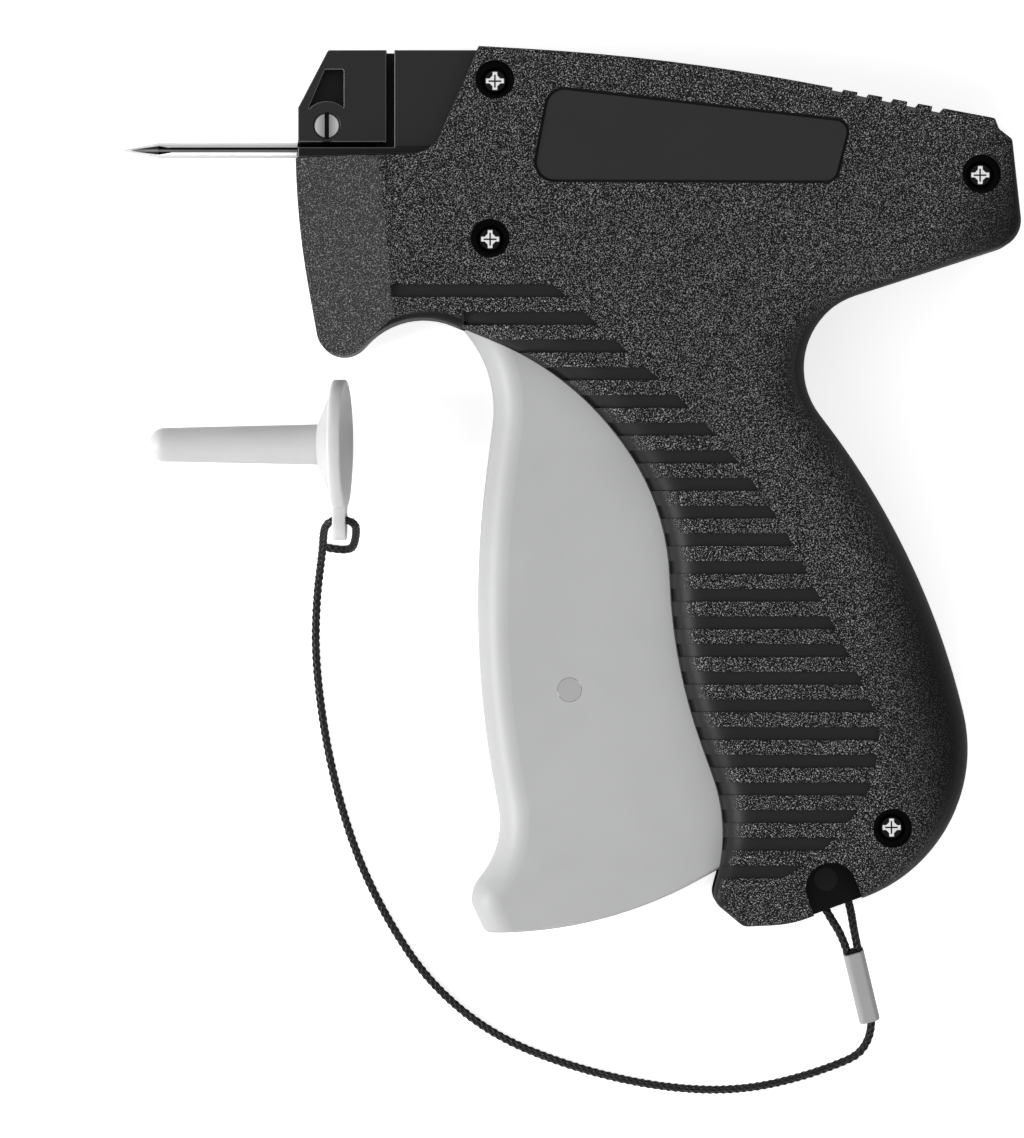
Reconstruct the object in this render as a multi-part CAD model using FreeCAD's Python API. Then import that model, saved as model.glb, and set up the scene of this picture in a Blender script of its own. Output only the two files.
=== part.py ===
"""Garment tag attacher: a hand gun that pushes T-ended plastic fasteners through cloth.

The gun lies on its right side.  X runs from the needle (-X) to the tail (+X), Y from the foot of
the handle up to the barrel, and Z across the gun.  Every piece is drawn about the parting plane
of the two housing halves, Z = 0, and is lifted at the end so that the gun rests on Z = 0.
Lengths are millimetres and angles are degrees.
"""
import FreeCAD, Part
import math
import os
from FreeCAD import Matrix, Rotation, Vector

# ---------------------------------------------------------------- fits
FIT = 0.05            # radial gap of a pin or shaft in its hole
SEAT = 0.10           # gap between a piece and the pocket that holds it
RUN = 0.35            # side gap of a moving piece

# ---------------------------------------------------------------- housing
BODY_HALF = 13.0      # half the gun's thickness
MIDDLE = (0.15, -0.1) # centre of the gun's extent in X and Y
NOSE_HALF = 10.3      # half thickness at the front of the nose
WALL = 2.0            # housing wall
ROLLED_WALL = 4.5     # inset of the deep part of the cavity, behind the rolled edges
CHANNEL_HALF = 8.0    # half width of the shallow part of the cavity
CAVITY_HALF = BODY_HALF - WALL
# Outline of the housing: x, y, plan radius of the corner, rolled radius of the side edge there.
HOUSING = [
    (-15.3, 73.8, 0.0, 0.6),       # top of the head opening
    (16.2, 72.0, 360.0, 0.6),      # slightly arched top
    (70.6, 61.8, 0.6, 0.6),
    (71.3, 60.0, 1.2, 0.6),        # small step above the end of the tail
    (73.5, 58.3, 1.0, 0.6),
    (75.45, 41.55, 4.7, 2.8),      # end of the tail
    (30.4, 26.95, 12.9, 8.0),      # web of the hand
    (58.9, -9.6, 128.0, 9.0),      # back of the handle
    (71.15, -59.85, 26.2, 7.0),    # heel
    (36.65, -72.45, 20.8, 0.8),
    (28.8, -72.8, 2.0, 0.8),       # toe of the handle
    (23.5, -68.4, 3.0, 1.4),
    (26.6, -55.9, 28.0, 5.5),      # front of the handle, over the trigger
    (17.1, -29.6, 92.0, 5.5),
    (16.0, -2.1, 40.0, 5.5),
    (-0.2, 19.5, 49.0, 5.5),
    (-27.95, 30.95, 12.7, 1.6),    # arch over the index finger
    (-40.7, 17.2, 4.4, 1.0),       # tip of the nose
    (-45.55, 44.15, 137.0, 0.8),
    (-45.8, 55.2, 0.0, 0.8),       # front of the nose, under the head
    (-23.2, 56.1, 5.0, 0.5),
]
CREASE_TOP = (-32.0, 55.8)         # crease where the nose starts to taper
CREASE_FOOT = (-29.9, 34.6)

# Grip grooves on both sides of the handle.
GROOVES = 22
GROOVE_PITCH = 4.604
GROOVE_HEIGHT = 2.17
GROOVE_DEPTH = 0.8
GROOVE_TOP = 34.13                 # upper edge of the first groove
GROOVE_FLOOR_Z = 8.8               # the grooves stop at this height of the rolled edge
FIRST_GROOVE_LEFT = -30.0
NEXT_GROOVE_LEFT = -17.8
GROOVE_FIELD = [                   # the grooves end on this outline
    (-40.0, 41.3, 0.0), (-11.0, 41.3, 0.0), (30.1, 4.6, 100.0), (55.0, -45.1, 20.0),
    (41.0, -61.3, 8.0), (20.0, -73.9, 0.0), (-40.0, -73.9, 0.0),
]

# Thumb notches across the top of the tail.
NOTCHES = 5
NOTCH_PITCH = 4.22
NOTCH_WIDTH = 1.85
NOTCH_DEPTH = 0.7                  # at the middle of the gun
NOTCH_SIDE_DEPTH = 1.55            # at its sides
NOTCH_FALL_Z = 7.0                 # where the floor starts to fall to the side
NOTCH_FIRST = (44.6, 67.15)        # centre of the first notch on the top edge
NOTCH_SLOPE = -11.8                # slope of the top edge there
NOTCH_PAD = 3.2                    # thickness of the wall below the notches

# Bare side panel, let into the left half.
PANEL = [(-3.8, 67.3, 3.4), (47.0, 61.5, 2.4), (44.3, 50.9, 2.4), (-6.8, 51.1, 3.4)]
PANEL_RECESS = 1.1
PANEL_THICK = 0.75
PANEL_BORDER = 0.5

# Case screws.
SCREWS = [(-12.6, 68.2), (-13.4, 41.8), (68.4, 52.5), (53.6, -56.4)]
SCREW_R = 1.2
SCREW_HEAD_R = 2.2
SCREW_HEAD_H = 1.6
SCREW_SEAT_Z = 5.0
SCREW_GRIP = 8.5                   # depth of thread in the right half
CROSS_WIDTH = 0.8
CROSS_SPAN = 3.0
CROSS_DEPTH = 1.0
COUNTERBORE_R = 3.25
BOSS_WALL = 1.3

# ---------------------------------------------------------------- trigger
TRIGGER_PIVOT = Vector(-12.6, 31.6, 0)
TRIGGER_HALF = 7.0
TRIGGER_WALL = 2.0
TRIGGER_FRONT_WALL = 2.5
TRIGGER_TRAVEL = 22.0              # degrees from rest to the squeezed stop
TRIGGER_SWEEP_R = 106.8            # radius about the pivot that the foot needs
TRIGGER_ROLL = 5.0                 # rolled radius of the finger rest
TRIGGER_EDGE = 0.5                 # rounded lower edge
TRIGGER_FOOT_Y = -55.0             # the lower edge is rounded below this
TRIGGER = [
    (-17.7, 26.5, 0.0),            # upper tip
    (-11.9, 19.3, 20.0),
    (-17.5, -23.9, 168.0),         # finger rest
    (-10.8, -59.6, 14.2),
    (-17.3, -67.3, 3.7),           # foot
    (-14.2, -74.0, 1.5),
    (5.9, -73.7, 70.0),
    (28.6, -61.2, 2.0),
    (27.4, -35.0, 0.0),            # rear edge, inside the handle
    (27.6, 8.4, 3.0),
    (-9.0, 33.0, 0.0),
]
TRIGGER_FRONT = [                  # the same front, drawn out past its ends, for the roll
    (-24.2, 34.6, 0.0), (-11.9, 19.3, 20.0), (-17.5, -23.9, 168.0), (-10.8, -59.6, 14.2),
    (-17.6, -67.7, 6.0), (-11.5, -81.0, 0.0), (50.0, -81.0, 0.0), (50.0, 34.6, 0.0),
]
PIVOT_BOSS_R = 3.5
PIVOT_PIN_R = 1.5

# ---------------------------------------------------------------- lever
LEVER_FROM_TRIGGER = 30.0          # distance between the two pivots
LINE_OF_PIVOTS = -20.0             # direction from the trigger's pivot to the lever's
POST_FROM_TRIGGER = 45.0           # distance from the trigger's pivot to the drive post
LEVER_SWING = 62.4                 # swing of the lever over the whole squeeze
LEVER_HALF = 1.6
LEVER_HUB_R = 3.6
LEVER_HUB_HALF = 4.4
FORK_INNER_R = 30.8
FORK_OUTER_R = 41.6
FORK_CHEEK = 1.9
FORK_GAP = 0.95                    # lets the slide move in proportion to the trigger
POST_R = 1.1
ROLLER_R = 2.0
ROLLER_GAP = 0.40
LEVER_PIN_R = 1.5

# ---------------------------------------------------------------- slide
BORE_Y = 56.8                      # axis of the needle and the ejector rod
SLIDE_PIN_Y = 54.1
SLIDE_PIN_R = 1.25
SLIDE_HALF = 4.6
SLIDE_LOW = 50.0
SLIDE_HIGH = 59.6
SLIDE_SLOT_HALF = 8.4              # room for the tilting fork, each side of the slide pin
SLIDE_SLOT_WIDTH = 4.4
SLIDE_FRONT_WALL = 2.5
SLIDE_REAR_WALL = 5.6
ROD_R = 0.75
ROD_TIP_X = -28.75

# ---------------------------------------------------------------- head
HEAD_HALF = 10.2
TONGUE_HALF = 7.5
HEAD_OUTLINE = [
    (-40.4, 73.2, 0.5), (-45.4, 63.6, 0.0), (-45.4, 55.35, 0.0), (-29.0, 56.0, 0.0),
    (-16.3, 56.0, 0.0), (-16.3, 61.6, 0.0), (-9.5, 61.6, 0.5), (-9.5, 71.2, 0.5),
    (-15.6, 71.2, 0.0), (-15.6, 73.2, 0.0),
]
TONGUE_OUTLINE = [
    (-43.5, 57.0, 0.0), (-43.2, 46.7, 1.0), (-16.3, 46.7, 1.0), (-16.3, 57.0, 0.0),
]
FEED_SLOT_X = (-30.7, -29.35)      # vertical slot for the fastener strip
FEED_SLOT_Y = (57.0, 57.9)         # slot in line with the slit of the needle
FEED_SLOT_FLOOR = -3.0
WINDOW = [(-40.9, 69.95, 0.2), (-37.8, 69.95, 0.3), (-37.8, 63.4, 0.4), (-43.7, 63.4, 0.2)]
WINDOW_ARC_R = 4.1                 # its lower edge follows the lock
WINDOW_DEPTH = 5.0
HEAD_EDGE = 0.2                    # rounded edges of the head's faces

# ---------------------------------------------------------------- needle
NEEDLE_TIP_X = -75.1
NEEDLE_R = 1.25
NEEDLE_ROOT_R = 1.85               # swaged root, held by the hub
NEEDLE_SHANK_X = -45.6             # where the slim shank ends and the root begins
NEEDLE_BORE_R = 0.85
NEEDLE_BORE_X = -69.0              # front end of the bore
NEEDLE_BEVEL_X = -69.1             # where the tip starts to taper
NEEDLE_TAIL_X = -33.0
NEEDLE_SLIT = 0.8
NEEDLE_SLIT_Y = 0.1                # slit above the axis
MOUTH_X = (-73.5, -68.7, -66.9)    # ends and widest place of the needle's mouth
MOUTH_WIDE = 0.72                  # half width of the mouth
MOUTH_BULGE = 0.6                  # share of that width half way to its point
MOUTH_FLOOR_Z = -0.15
HUB_X = (-45.2, -32.6)
HUB_R = 2.6
LOCK = Vector(-40.6, 60.6, 0)
LOCK_HEAD_R = 2.14
LOCK_HEAD_H = 1.2
LOCK_SHAFT_R = 1.8
LOCK_FOOT_Z = -4.0
LOCK_FLAT = 1.1                    # flat that frees the needle when the lock is turned
LOCK_SLOT = 0.75
LOCK_SLOT_DEPTH = 1.0

# ---------------------------------------------------------------- feed
WHEEL = Vector(-25.6, 51.6, 0)
WHEEL_TEETH = 12
WHEEL_ROOT_R = 3.6
WHEEL_TIP_R = 4.6
WHEEL_Z = (-2.8, -1.2)
AXLE_R = 0.9
BLADE = (-31.2, -30.75)            # cutter blade beside the feed slot

# ---------------------------------------------------------------- return spring
SPRING_PIN = Vector(-0.15, -33.4, 0)
SPRING_PIN_R = 2.0
SPRING_SEAT = Vector(56.0, -27.4, 0)
SPRING_R = 3.4                     # radius of the wire's centre line
SPRING_WIRE_R = 0.55
SPRING_COILS = 8
CUP_R = 4.3
CUP_LENGTH = 6.0
SPIGOT_R = 2.5
SPIGOT_LENGTH = 3.0

# ---------------------------------------------------------------- lanyard
LANYARD = Vector(43.4, -66.4, 0)   # centre of the rounded notch in the handle
LANYARD_NOTCH_R = 4.3
LANYARD_AXIS = Vector(0.351, -0.936, 0)
LANYARD_POST = Vector(42.7, -65.1, 0)
LANYARD_POST_R = 2.0
LANYARD_WAIST_R = 1.5              # the post is thinner where the cord goes round it
LANYARD_GAP_R = 4.0
EAR_HALF = 4.0
EAR_GAP_HALF = 1.6
LANYARD_BLOCK_R = 6.6
CORD_R = 0.75
SLEEVE_WIDTH = 3.5
SLEEVE_THICK = 2.4
STRAND_OFFSET = 0.8                # each strand's distance from the sleeve's axis
STRAND_LEAD = 2.1                  # the strands stay straight this far out of the sleeve

# ---------------------------------------------------------------- needle cap
CAP_RIM = Vector(-38.6, 7.6, 0)    # centre of the flange, seen from above
CAP_TILT = 5.5                     # the cap stands on the rim of its flange, tip lowered
CAP_FLANGE_R = 10.9
CAP_FLANGE_THICK = 2.2             # width of the flange's cylindrical rim
CAP_LENGTH = 33.2
CAP_EDGE = 0.3                     # rounded edge of the flange
CAP_TIP_R = 2.8
CAP_TIP_ROUND = 2.4
CAP_ROOT_R = 3.4
CAP_FLARE_R = 9.6                  # where the flare meets the rim
CAP_FLARE_LENGTH = 2.6
CAP_DISH_R = 10.0                  # mouth of the funnel in the flange
CAP_DISH_DEPTH = 2.9
CAP_BORE_R = 1.6
CAP_BORE_DEPTH = 31.0
CAP_TAB_REACH = 16.0
CAP_TAB_WIDTH = 5.0
CAP_TAB_THICK = 2.1
CAP_HOLE_R = 1.15
CAP_HOLE_REACH = 12.6


# ================================================================ shapes
def polar(centre, radius, angle):
    """Point at a distance and a direction from a centre, in the XY plane."""
    turn = math.radians(angle)
    return centre + Vector(radius * math.cos(turn), radius * math.sin(turn), 0)


def arc_edge(centre, start, end, radius):
    """Shorter arc from start to end about centre."""
    middle = centre + ((start - centre) + (end - centre)).normalize() * radius
    return Part.Arc(start, middle, end).toShape()


def outline_edges(corners):
    """Edges of an outline whose corners are tangent arcs, and the middle of each corner."""
    tangents = []
    for i, corner in enumerate(corners):
        here = Vector(corner[0], corner[1], 0)
        back = Vector(corners[i - 1][0], corners[i - 1][1], 0) - here
        after = corners[(i + 1) % len(corners)]
        ahead = Vector(after[0], after[1], 0) - here
        half = back.getAngle(ahead) / 2
        inward = (back.normalize() + ahead.normalize()).normalize()
        reach = corner[2] / math.tan(half)
        centre = here + inward * (corner[2] / math.sin(half))
        middle = centre - inward * corner[2]
        tangents.append((here + back * reach, middle, here + ahead * reach, centre, corner[2]))
    edges = []
    for i, (start, middle, end, centre, radius) in enumerate(tangents):
        if radius > 0:
            edges.append(arc_edge(centre, start, middle, radius))
            edges.append(arc_edge(centre, middle, end, radius))
        following = tangents[(i + 1) % len(tangents)][0]
        if end.distanceToPoint(following) > 1e-4:
            edges.append(Part.LineSegment(end, following).toShape())
    return edges, [tangent[1] for tangent in tangents]


def plate(corners, low, high):
    """Prism between two heights over an outline of rounded corners."""
    face = Part.Face(Part.Wire(outline_edges(corners)[0]))
    face.translate(Vector(0, 0, low))
    return face.extrude(Vector(0, 0, high - low))


def widened(corners, gap):
    """Prism-ready face of an outline, grown by a gap."""
    face = Part.Face(Part.Wire(outline_edges(corners)[0]))
    return face.makeOffset2D(gap)


def prism(face, low, high):
    """Prism over a flat face between two heights."""
    raised = face.copy()
    raised.translate(Vector(0, 0, low))
    return raised.extrude(Vector(0, 0, high - low))


def disc(centre, radius, low, high):
    """Upright cylinder between two heights."""
    return Part.makeCylinder(radius, high - low, Vector(centre.x, centre.y, low))


def block(x_range, y_range, z_range):
    """Box between pairs of limits."""
    size = [b - a for a, b in (x_range, y_range, z_range)]
    return Part.makeBox(*size, Vector(x_range[0], y_range[0], z_range[0]))


def mirrored(shape):
    """Copy of a shape on the other side of the parting plane."""
    return shape.mirror(Vector(0, 0, 0), Vector(0, 0, 1))


def both_sides(half_shape):
    """Whole piece from the half of it that lies above the parting plane."""
    return half_shape.fuse(mirrored(half_shape)).removeSplitter()


def sector(centre, radius, start, end, low, high):
    """Upright pie slice about a centre, from one direction to another."""
    first = polar(centre, radius, start)
    last = polar(centre, radius, end)
    edges = [
        Part.LineSegment(centre, first).toShape(),
        Part.Arc(first, polar(centre, radius, (start + end) / 2), last).toShape(),
        Part.LineSegment(last, centre).toShape(),
    ]
    return prism(Part.Face(Part.Wire(edges)), low, high)


def rolled_half(corners, half):
    """Half of a body above Z = 0, whose side edge is rolled with a changing radius."""
    edges, middles = outline_edges(corners)
    starts = [0.0]
    for edge in edges:
        starts.append(starts[-1] + edge.Length)
    around = starts[-1]
    knots = []
    for middle, corner in zip(middles, corners):
        nearest = min(range(len(edges)), key=lambda k: edges[k].Vertexes[0].Point.distanceToPoint(middle))
        knots.append((starts[nearest], corner[3]))
    knots.sort()
    first = (knots[0][0] + around, knots[0][1])
    last = (knots[-1][0] - around, knots[-1][1])
    knots = [last] + knots + [first]

    def radius_at(place):
        for (a, radius_a), (b, radius_b) in zip(knots, knots[1:]):
            if a <= place <= b:
                return radius_a + (radius_b - radius_a) * (place - a) / (b - a)
        return knots[-1][1]

    body = Part.Face(Part.Wire(edges)).extrude(Vector(0, 0, half))
    radii = []
    for edge, start in zip(edges, starts):
        middle = edge.valueAt((edge.FirstParameter + edge.LastParameter) / 2) + Vector(0, 0, half)
        for number, candidate in enumerate(body.Edges, 1):
            centre = candidate.valueAt((candidate.FirstParameter + candidate.LastParameter) / 2)
            if centre.distanceToPoint(middle) < 1e-3:
                radii.append((number, radius_at(start), radius_at(start + edge.Length)))
    bench = FreeCAD.newDocument()
    base = bench.addObject("Part::Feature", "Body")
    base.Shape = body
    rolled = bench.addObject("Part::Fillet", "Rolled")
    rolled.Base = base
    rolled.Edges = radii
    bench.recompute()
    shape = rolled.Shape.copy()
    FreeCAD.closeDocument(bench.Name)
    return shape


# ================================================================ kinematics
LEVER_PIVOT = polar(TRIGGER_PIVOT, LEVER_FROM_TRIGGER, LINE_OF_PIVOTS)
POST = polar(TRIGGER_PIVOT, POST_FROM_TRIGGER, LINE_OF_PIVOTS - TRIGGER_TRAVEL / 2)
LEVER_RISE = SLIDE_PIN_Y - LEVER_PIVOT.y
SLIDE_STROKE = 2 * LEVER_RISE * math.tan(math.radians(LEVER_SWING / 2))
SLIDE_PIN = Vector(LEVER_PIVOT.x + SLIDE_STROKE / 2, SLIDE_PIN_Y, 0)
MOUTH_HALF = TRIGGER_HALF + RUN
HEAD_SCREW = Vector(SCREWS[0][0], SCREWS[0][1], 0)


# ================================================================ housing halves
def mouth():
    """Room that the trigger sweeps between the cheeks of the housing."""
    room = sector(TRIGGER_PIVOT, TRIGGER_SWEEP_R, -115, -58, 0, MOUTH_HALF)
    room = room.fuse(sector(TRIGGER_PIVOT, 62.0, -115, -38, 0, MOUTH_HALF))
    room = room.fuse(sector(TRIGGER_PIVOT, 9.0, -142, -38, 0, MOUTH_HALF))
    return room.fuse(disc(TRIGGER_PIVOT, PIVOT_BOSS_R + RUN, 0, MOUTH_HALF))


def grooves(body):
    """Cutters of the grip grooves: bars that lie above a lowered copy of the body's skin."""
    bars = []
    for i in range(GROOVES):
        top = GROOVE_TOP - i * GROOVE_PITCH
        left = FIRST_GROOVE_LEFT if i == 0 else NEXT_GROOVE_LEFT
        bars.append(block((left, 60.0), (top - GROOVE_HEIGHT, top), (GROOVE_FLOOR_Z, BODY_HALF + 1)))
    field = plate(GROOVE_FIELD, GROOVE_FLOOR_Z, BODY_HALF + 1)
    lowered = body.copy()
    lowered.translate(Vector(0, 0, -GROOVE_DEPTH))
    return Part.makeCompound(bars).common(field).cut(lowered)


def thumb_notches():
    """Bars that cut the thumb notches, and the pad that keeps the wall whole below them."""
    along = Rotation(Vector(0, 0, 1), NOTCH_SLOPE)
    start = Vector(NOTCH_FIRST[0], NOTCH_FIRST[1], 0)
    bars = []
    for i in range(NOTCHES):
        section = Part.makePolygon([
            Vector(-NOTCH_WIDTH / 2, y, z) for y, z in (
                (2.0, -1.0), (-NOTCH_DEPTH, -1.0), (-NOTCH_DEPTH, NOTCH_FALL_Z), (-NOTCH_SIDE_DEPTH, BODY_HALF),
                (-NOTCH_SIDE_DEPTH, BODY_HALF + 1.0), (2.0, BODY_HALF + 1.0), (2.0, -1.0))])
        bar = Part.Face(section).extrude(Vector(NOTCH_WIDTH, 0, 0))
        bar.Placement = FreeCAD.Placement(start + along.multVec(Vector(i * NOTCH_PITCH, 0, 0)), along)
        bars.append(bar)
    length = (NOTCHES - 1) * NOTCH_PITCH + 3 * NOTCH_WIDTH
    pad = block((-1.5 * NOTCH_WIDTH, length - 1.5 * NOTCH_WIDTH), (-NOTCH_PAD, 0.0), (0, BODY_HALF))
    pad.Placement = FreeCAD.Placement(start, along)
    return bars, pad


def nose_taper():
    """Wedge that slims the nose in front of the crease."""
    crease = Vector(CREASE_TOP[0] - CREASE_FOOT[0], CREASE_TOP[1] - CREASE_FOOT[1], 0).normalize()
    top = Vector(CREASE_TOP[0], CREASE_TOP[1], BODY_HALF) + crease * 10
    front_x = HOUSING[-2][0]
    slope = (BODY_HALF - NOSE_HALF) / (CREASE_TOP[0] - front_x)
    ahead = 25.0
    points = [
        top,
        top + Vector(-ahead, 0, -ahead * slope),
        top + Vector(-ahead, 0, 5),
        top + Vector(0, 0, 5),
        top,
    ]
    return Part.Face(Part.makePolygon(points)).extrude(crease * -60)


def slide_rails():
    """Ribs that guide the slide: below it, above it and beside it."""
    reach = (-12.0, 54.0)
    inner = LEVER_HALF + 1.0
    low = block(reach, (SLIDE_LOW - RUN - 1.4, SLIDE_LOW - RUN), (inner, CAVITY_HALF + 0.5))
    high = block(reach, (SLIDE_HIGH + RUN, SLIDE_HIGH + RUN + 1.4), (inner, CAVITY_HALF + 0.5))
    middle = (SLIDE_LOW + SLIDE_HIGH) / 2
    beside = block(reach, (middle - 1.0, middle + 1.0), (SLIDE_HALF + RUN, CAVITY_HALF + 0.5))
    return [low, high, beside]


def lanyard_slot(low, high, radius, centre):
    """Round-ended slot that opens at the bottom of the handle."""
    side = Vector(-LANYARD_AXIS.y, LANYARD_AXIS.x, 0) * radius
    out = LANYARD_AXIS * 12.0
    points = [centre + side, centre + side + out, centre - side + out, centre - side, centre + side]
    channel = prism(Part.Face(Part.makePolygon(points)), low, high)
    return channel.fuse(disc(centre, radius, low, high))


def housing_half():
    """Upper half of the housing before the screw holes: skin, cavity, bosses and ribs."""
    skin = rolled_half(HOUSING, BODY_HALF)
    face = Part.Face(Part.Wire(outline_edges(HOUSING)[0]))
    shallow = prism(face.makeOffset2D(-WALL), 0, CHANNEL_HALF)
    deep = prism(face.makeOffset2D(-ROLLED_WALL), 0, CAVITY_HALF)
    nose_keep = block((-50.0, CREASE_TOP[0] + 1.0), (0.0, 60.0), (CHANNEL_HALF, BODY_HALF))
    cavity = shallow.fuse(deep.cut(nose_keep))
    bars, pad = thumb_notches()
    shell = skin.cut(cavity)
    solids = [pad.common(skin), disc(LANYARD, LANYARD_BLOCK_R, 0, BODY_HALF).common(skin)]
    for x, y in SCREWS:
        solids.append(disc(Vector(x, y, 0), COUNTERBORE_R + BOSS_WALL, 0, CAVITY_HALF + 0.5))
    for pivot in (TRIGGER_PIVOT, LEVER_PIVOT):
        solids.append(disc(pivot, PIVOT_BOSS_R, MOUTH_HALF, CAVITY_HALF + 0.5))
    solids += slide_rails()
    shell = shell.fuse([solid.common(skin) for solid in solids])
    shell = shell.cut([grooves(skin), nose_taper()] + bars)
    shell = shell.cut(mouth())
    for pivot in (TRIGGER_PIVOT, LEVER_PIVOT):
        shell = shell.cut(disc(pivot, PIVOT_PIN_R + FIT, 0, CAVITY_HALF - 0.5))
    head_room = prism(widened(HEAD_OUTLINE, SEAT), 0, HEAD_HALF + SEAT)
    shell = shell.cut(head_room.cut(disc(HEAD_SCREW, COUNTERBORE_R + BOSS_WALL, 0, CAVITY_HALF)))
    shell = shell.cut(prism(widened(TONGUE_OUTLINE, SEAT), 0, TONGUE_HALF + SEAT))
    hub_room = Part.makeCylinder(HUB_R + SEAT, 14.0, Vector(-46.5, BORE_Y, 0), Vector(1, 0, 0))
    shell = shell.cut(hub_room)
    shell = shell.cut(lanyard_slot(EAR_HALF, BODY_HALF + 1, LANYARD_NOTCH_R, LANYARD))
    shell = shell.cut(lanyard_slot(0, EAR_GAP_HALF, LANYARD_GAP_R, LANYARD_POST))
    shell = shell.cut(disc(LANYARD_POST, LANYARD_POST_R + FIT, 0, EAR_HALF + 0.1))
    return shell.removeSplitter()


def left_shell(half):
    """Left half: counterbored screw holes and the panel recess."""
    shell = half
    for x, y in SCREWS:
        shell = shell.cut(disc(Vector(x, y, 0), COUNTERBORE_R, SCREW_SEAT_Z, BODY_HALF + 1))
        shell = shell.cut(disc(Vector(x, y, 0), SCREW_R + 0.15, -1, BODY_HALF))
    return shell.cut(plate(PANEL, BODY_HALF - PANEL_RECESS, BODY_HALF + 1))


def right_shell(half):
    """Right half: pilot holes for the case screws."""
    shell = mirrored(half)
    for x, y in SCREWS:
        shell = shell.cut(disc(Vector(x, y, 0), SCREW_R + FIT, -SCREW_GRIP - 0.5, 1))
    return shell


def side_panel():
    """Thin bare plate in the recess of the left half."""
    floor = BODY_HALF - PANEL_RECESS
    return prism(widened(PANEL, -PANEL_BORDER), floor, floor + PANEL_THICK)


def case_screws():
    """Four cross-recessed screws from the left."""
    screws = []
    for x, y in SCREWS:
        place = Vector(x, y, 0)
        top = SCREW_SEAT_Z + SCREW_HEAD_H
        screw = disc(place, SCREW_HEAD_R, SCREW_SEAT_Z, top)
        screw = screw.makeFillet(0.5, [e for e in screw.Edges if e.BoundBox.ZMin > top - 0.01])
        screw = screw.fuse(disc(place, SCREW_R, -SCREW_GRIP, SCREW_SEAT_Z + 0.1))
        arm = (-CROSS_SPAN / 2, CROSS_SPAN / 2)
        width = (-CROSS_WIDTH / 2, CROSS_WIDTH / 2)
        depth = (top - CROSS_DEPTH, top + 0.1)
        for cutter in (block(arm, width, depth), block(width, arm, depth)):
            cutter.translate(place)
            screw = screw.cut(cutter)
        screws.append(screw.removeSplitter())
    return Part.makeCompound(screws)


# ================================================================ trigger group
def trigger():
    """Hollow trigger, open to the rear, with a rolled front and its pivot boss."""
    outline = Part.Face(Part.Wire(outline_edges(TRIGGER)[0]))
    front = plate(TRIGGER_FRONT, 0, TRIGGER_HALF)
    top_edges = [e for e in front.Edges if e.BoundBox.ZMin > TRIGGER_HALF - 0.01]
    rolled = [e for e in top_edges if e.BoundBox.XMax < 0]
    half = front.makeFillet(TRIGGER_ROLL, rolled).common(prism(outline, 0, TRIGGER_HALF))
    pocket = prism(outline.makeOffset2D(-TRIGGER_FRONT_WALL), 0, TRIGGER_HALF - TRIGGER_WALL)
    rear = pocket.copy()
    rear.translate(Vector(6.0, 3.2, 0))
    half = half.cut(pocket.fuse(rear))
    clear = LEVER_FROM_TRIGGER + LEVER_PIN_R + 2 * RUN
    visible = LINE_OF_PIVOTS - TRIGGER_TRAVEL - 4.2
    half = half.cut(sector(TRIGGER_PIVOT, clear, visible, 70, -1, TRIGGER_HALF + 1))
    half = half.fuse(disc(TRIGGER_PIVOT, PIVOT_BOSS_R, 0, TRIGGER_HALF))
    post_ear = disc(POST, POST_R + 2.0, TRIGGER_HALF - TRIGGER_WALL, TRIGGER_HALF)
    half = half.fuse(post_ear)
    half = half.cut(disc(TRIGGER_PIVOT, PIVOT_PIN_R + FIT, -1, TRIGGER_HALF + 1))
    half = half.cut(disc(POST, POST_R + FIT, -1, TRIGGER_HALF - 0.4))
    half = half.cut(disc(SPRING_PIN, SPRING_PIN_R + FIT, -1, TRIGGER_HALF + 1))
    foot = [e for e in half.Edges if e.BoundBox.ZMin > TRIGGER_HALF - 0.01 and e.BoundBox.YMax < TRIGGER_FOOT_Y]
    return both_sides(half.makeFillet(TRIGGER_EDGE, foot))


def drive_post():
    """Steel pin across the trigger that drives the lever."""
    reach = TRIGGER_HALF - 0.4 - SEAT
    return disc(POST, POST_R, -reach, reach)


def drive_roller():
    """Roller on the drive post, in the slot of the lever."""
    return disc(POST, ROLLER_R, -LEVER_HALF, LEVER_HALF).cut(disc(POST, POST_R + FIT, -3, 3))


def spring_pin():
    """Pin through the trigger whose ends show on both sides."""
    return disc(SPRING_PIN, SPRING_PIN_R, -TRIGGER_HALF, TRIGGER_HALF)


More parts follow.
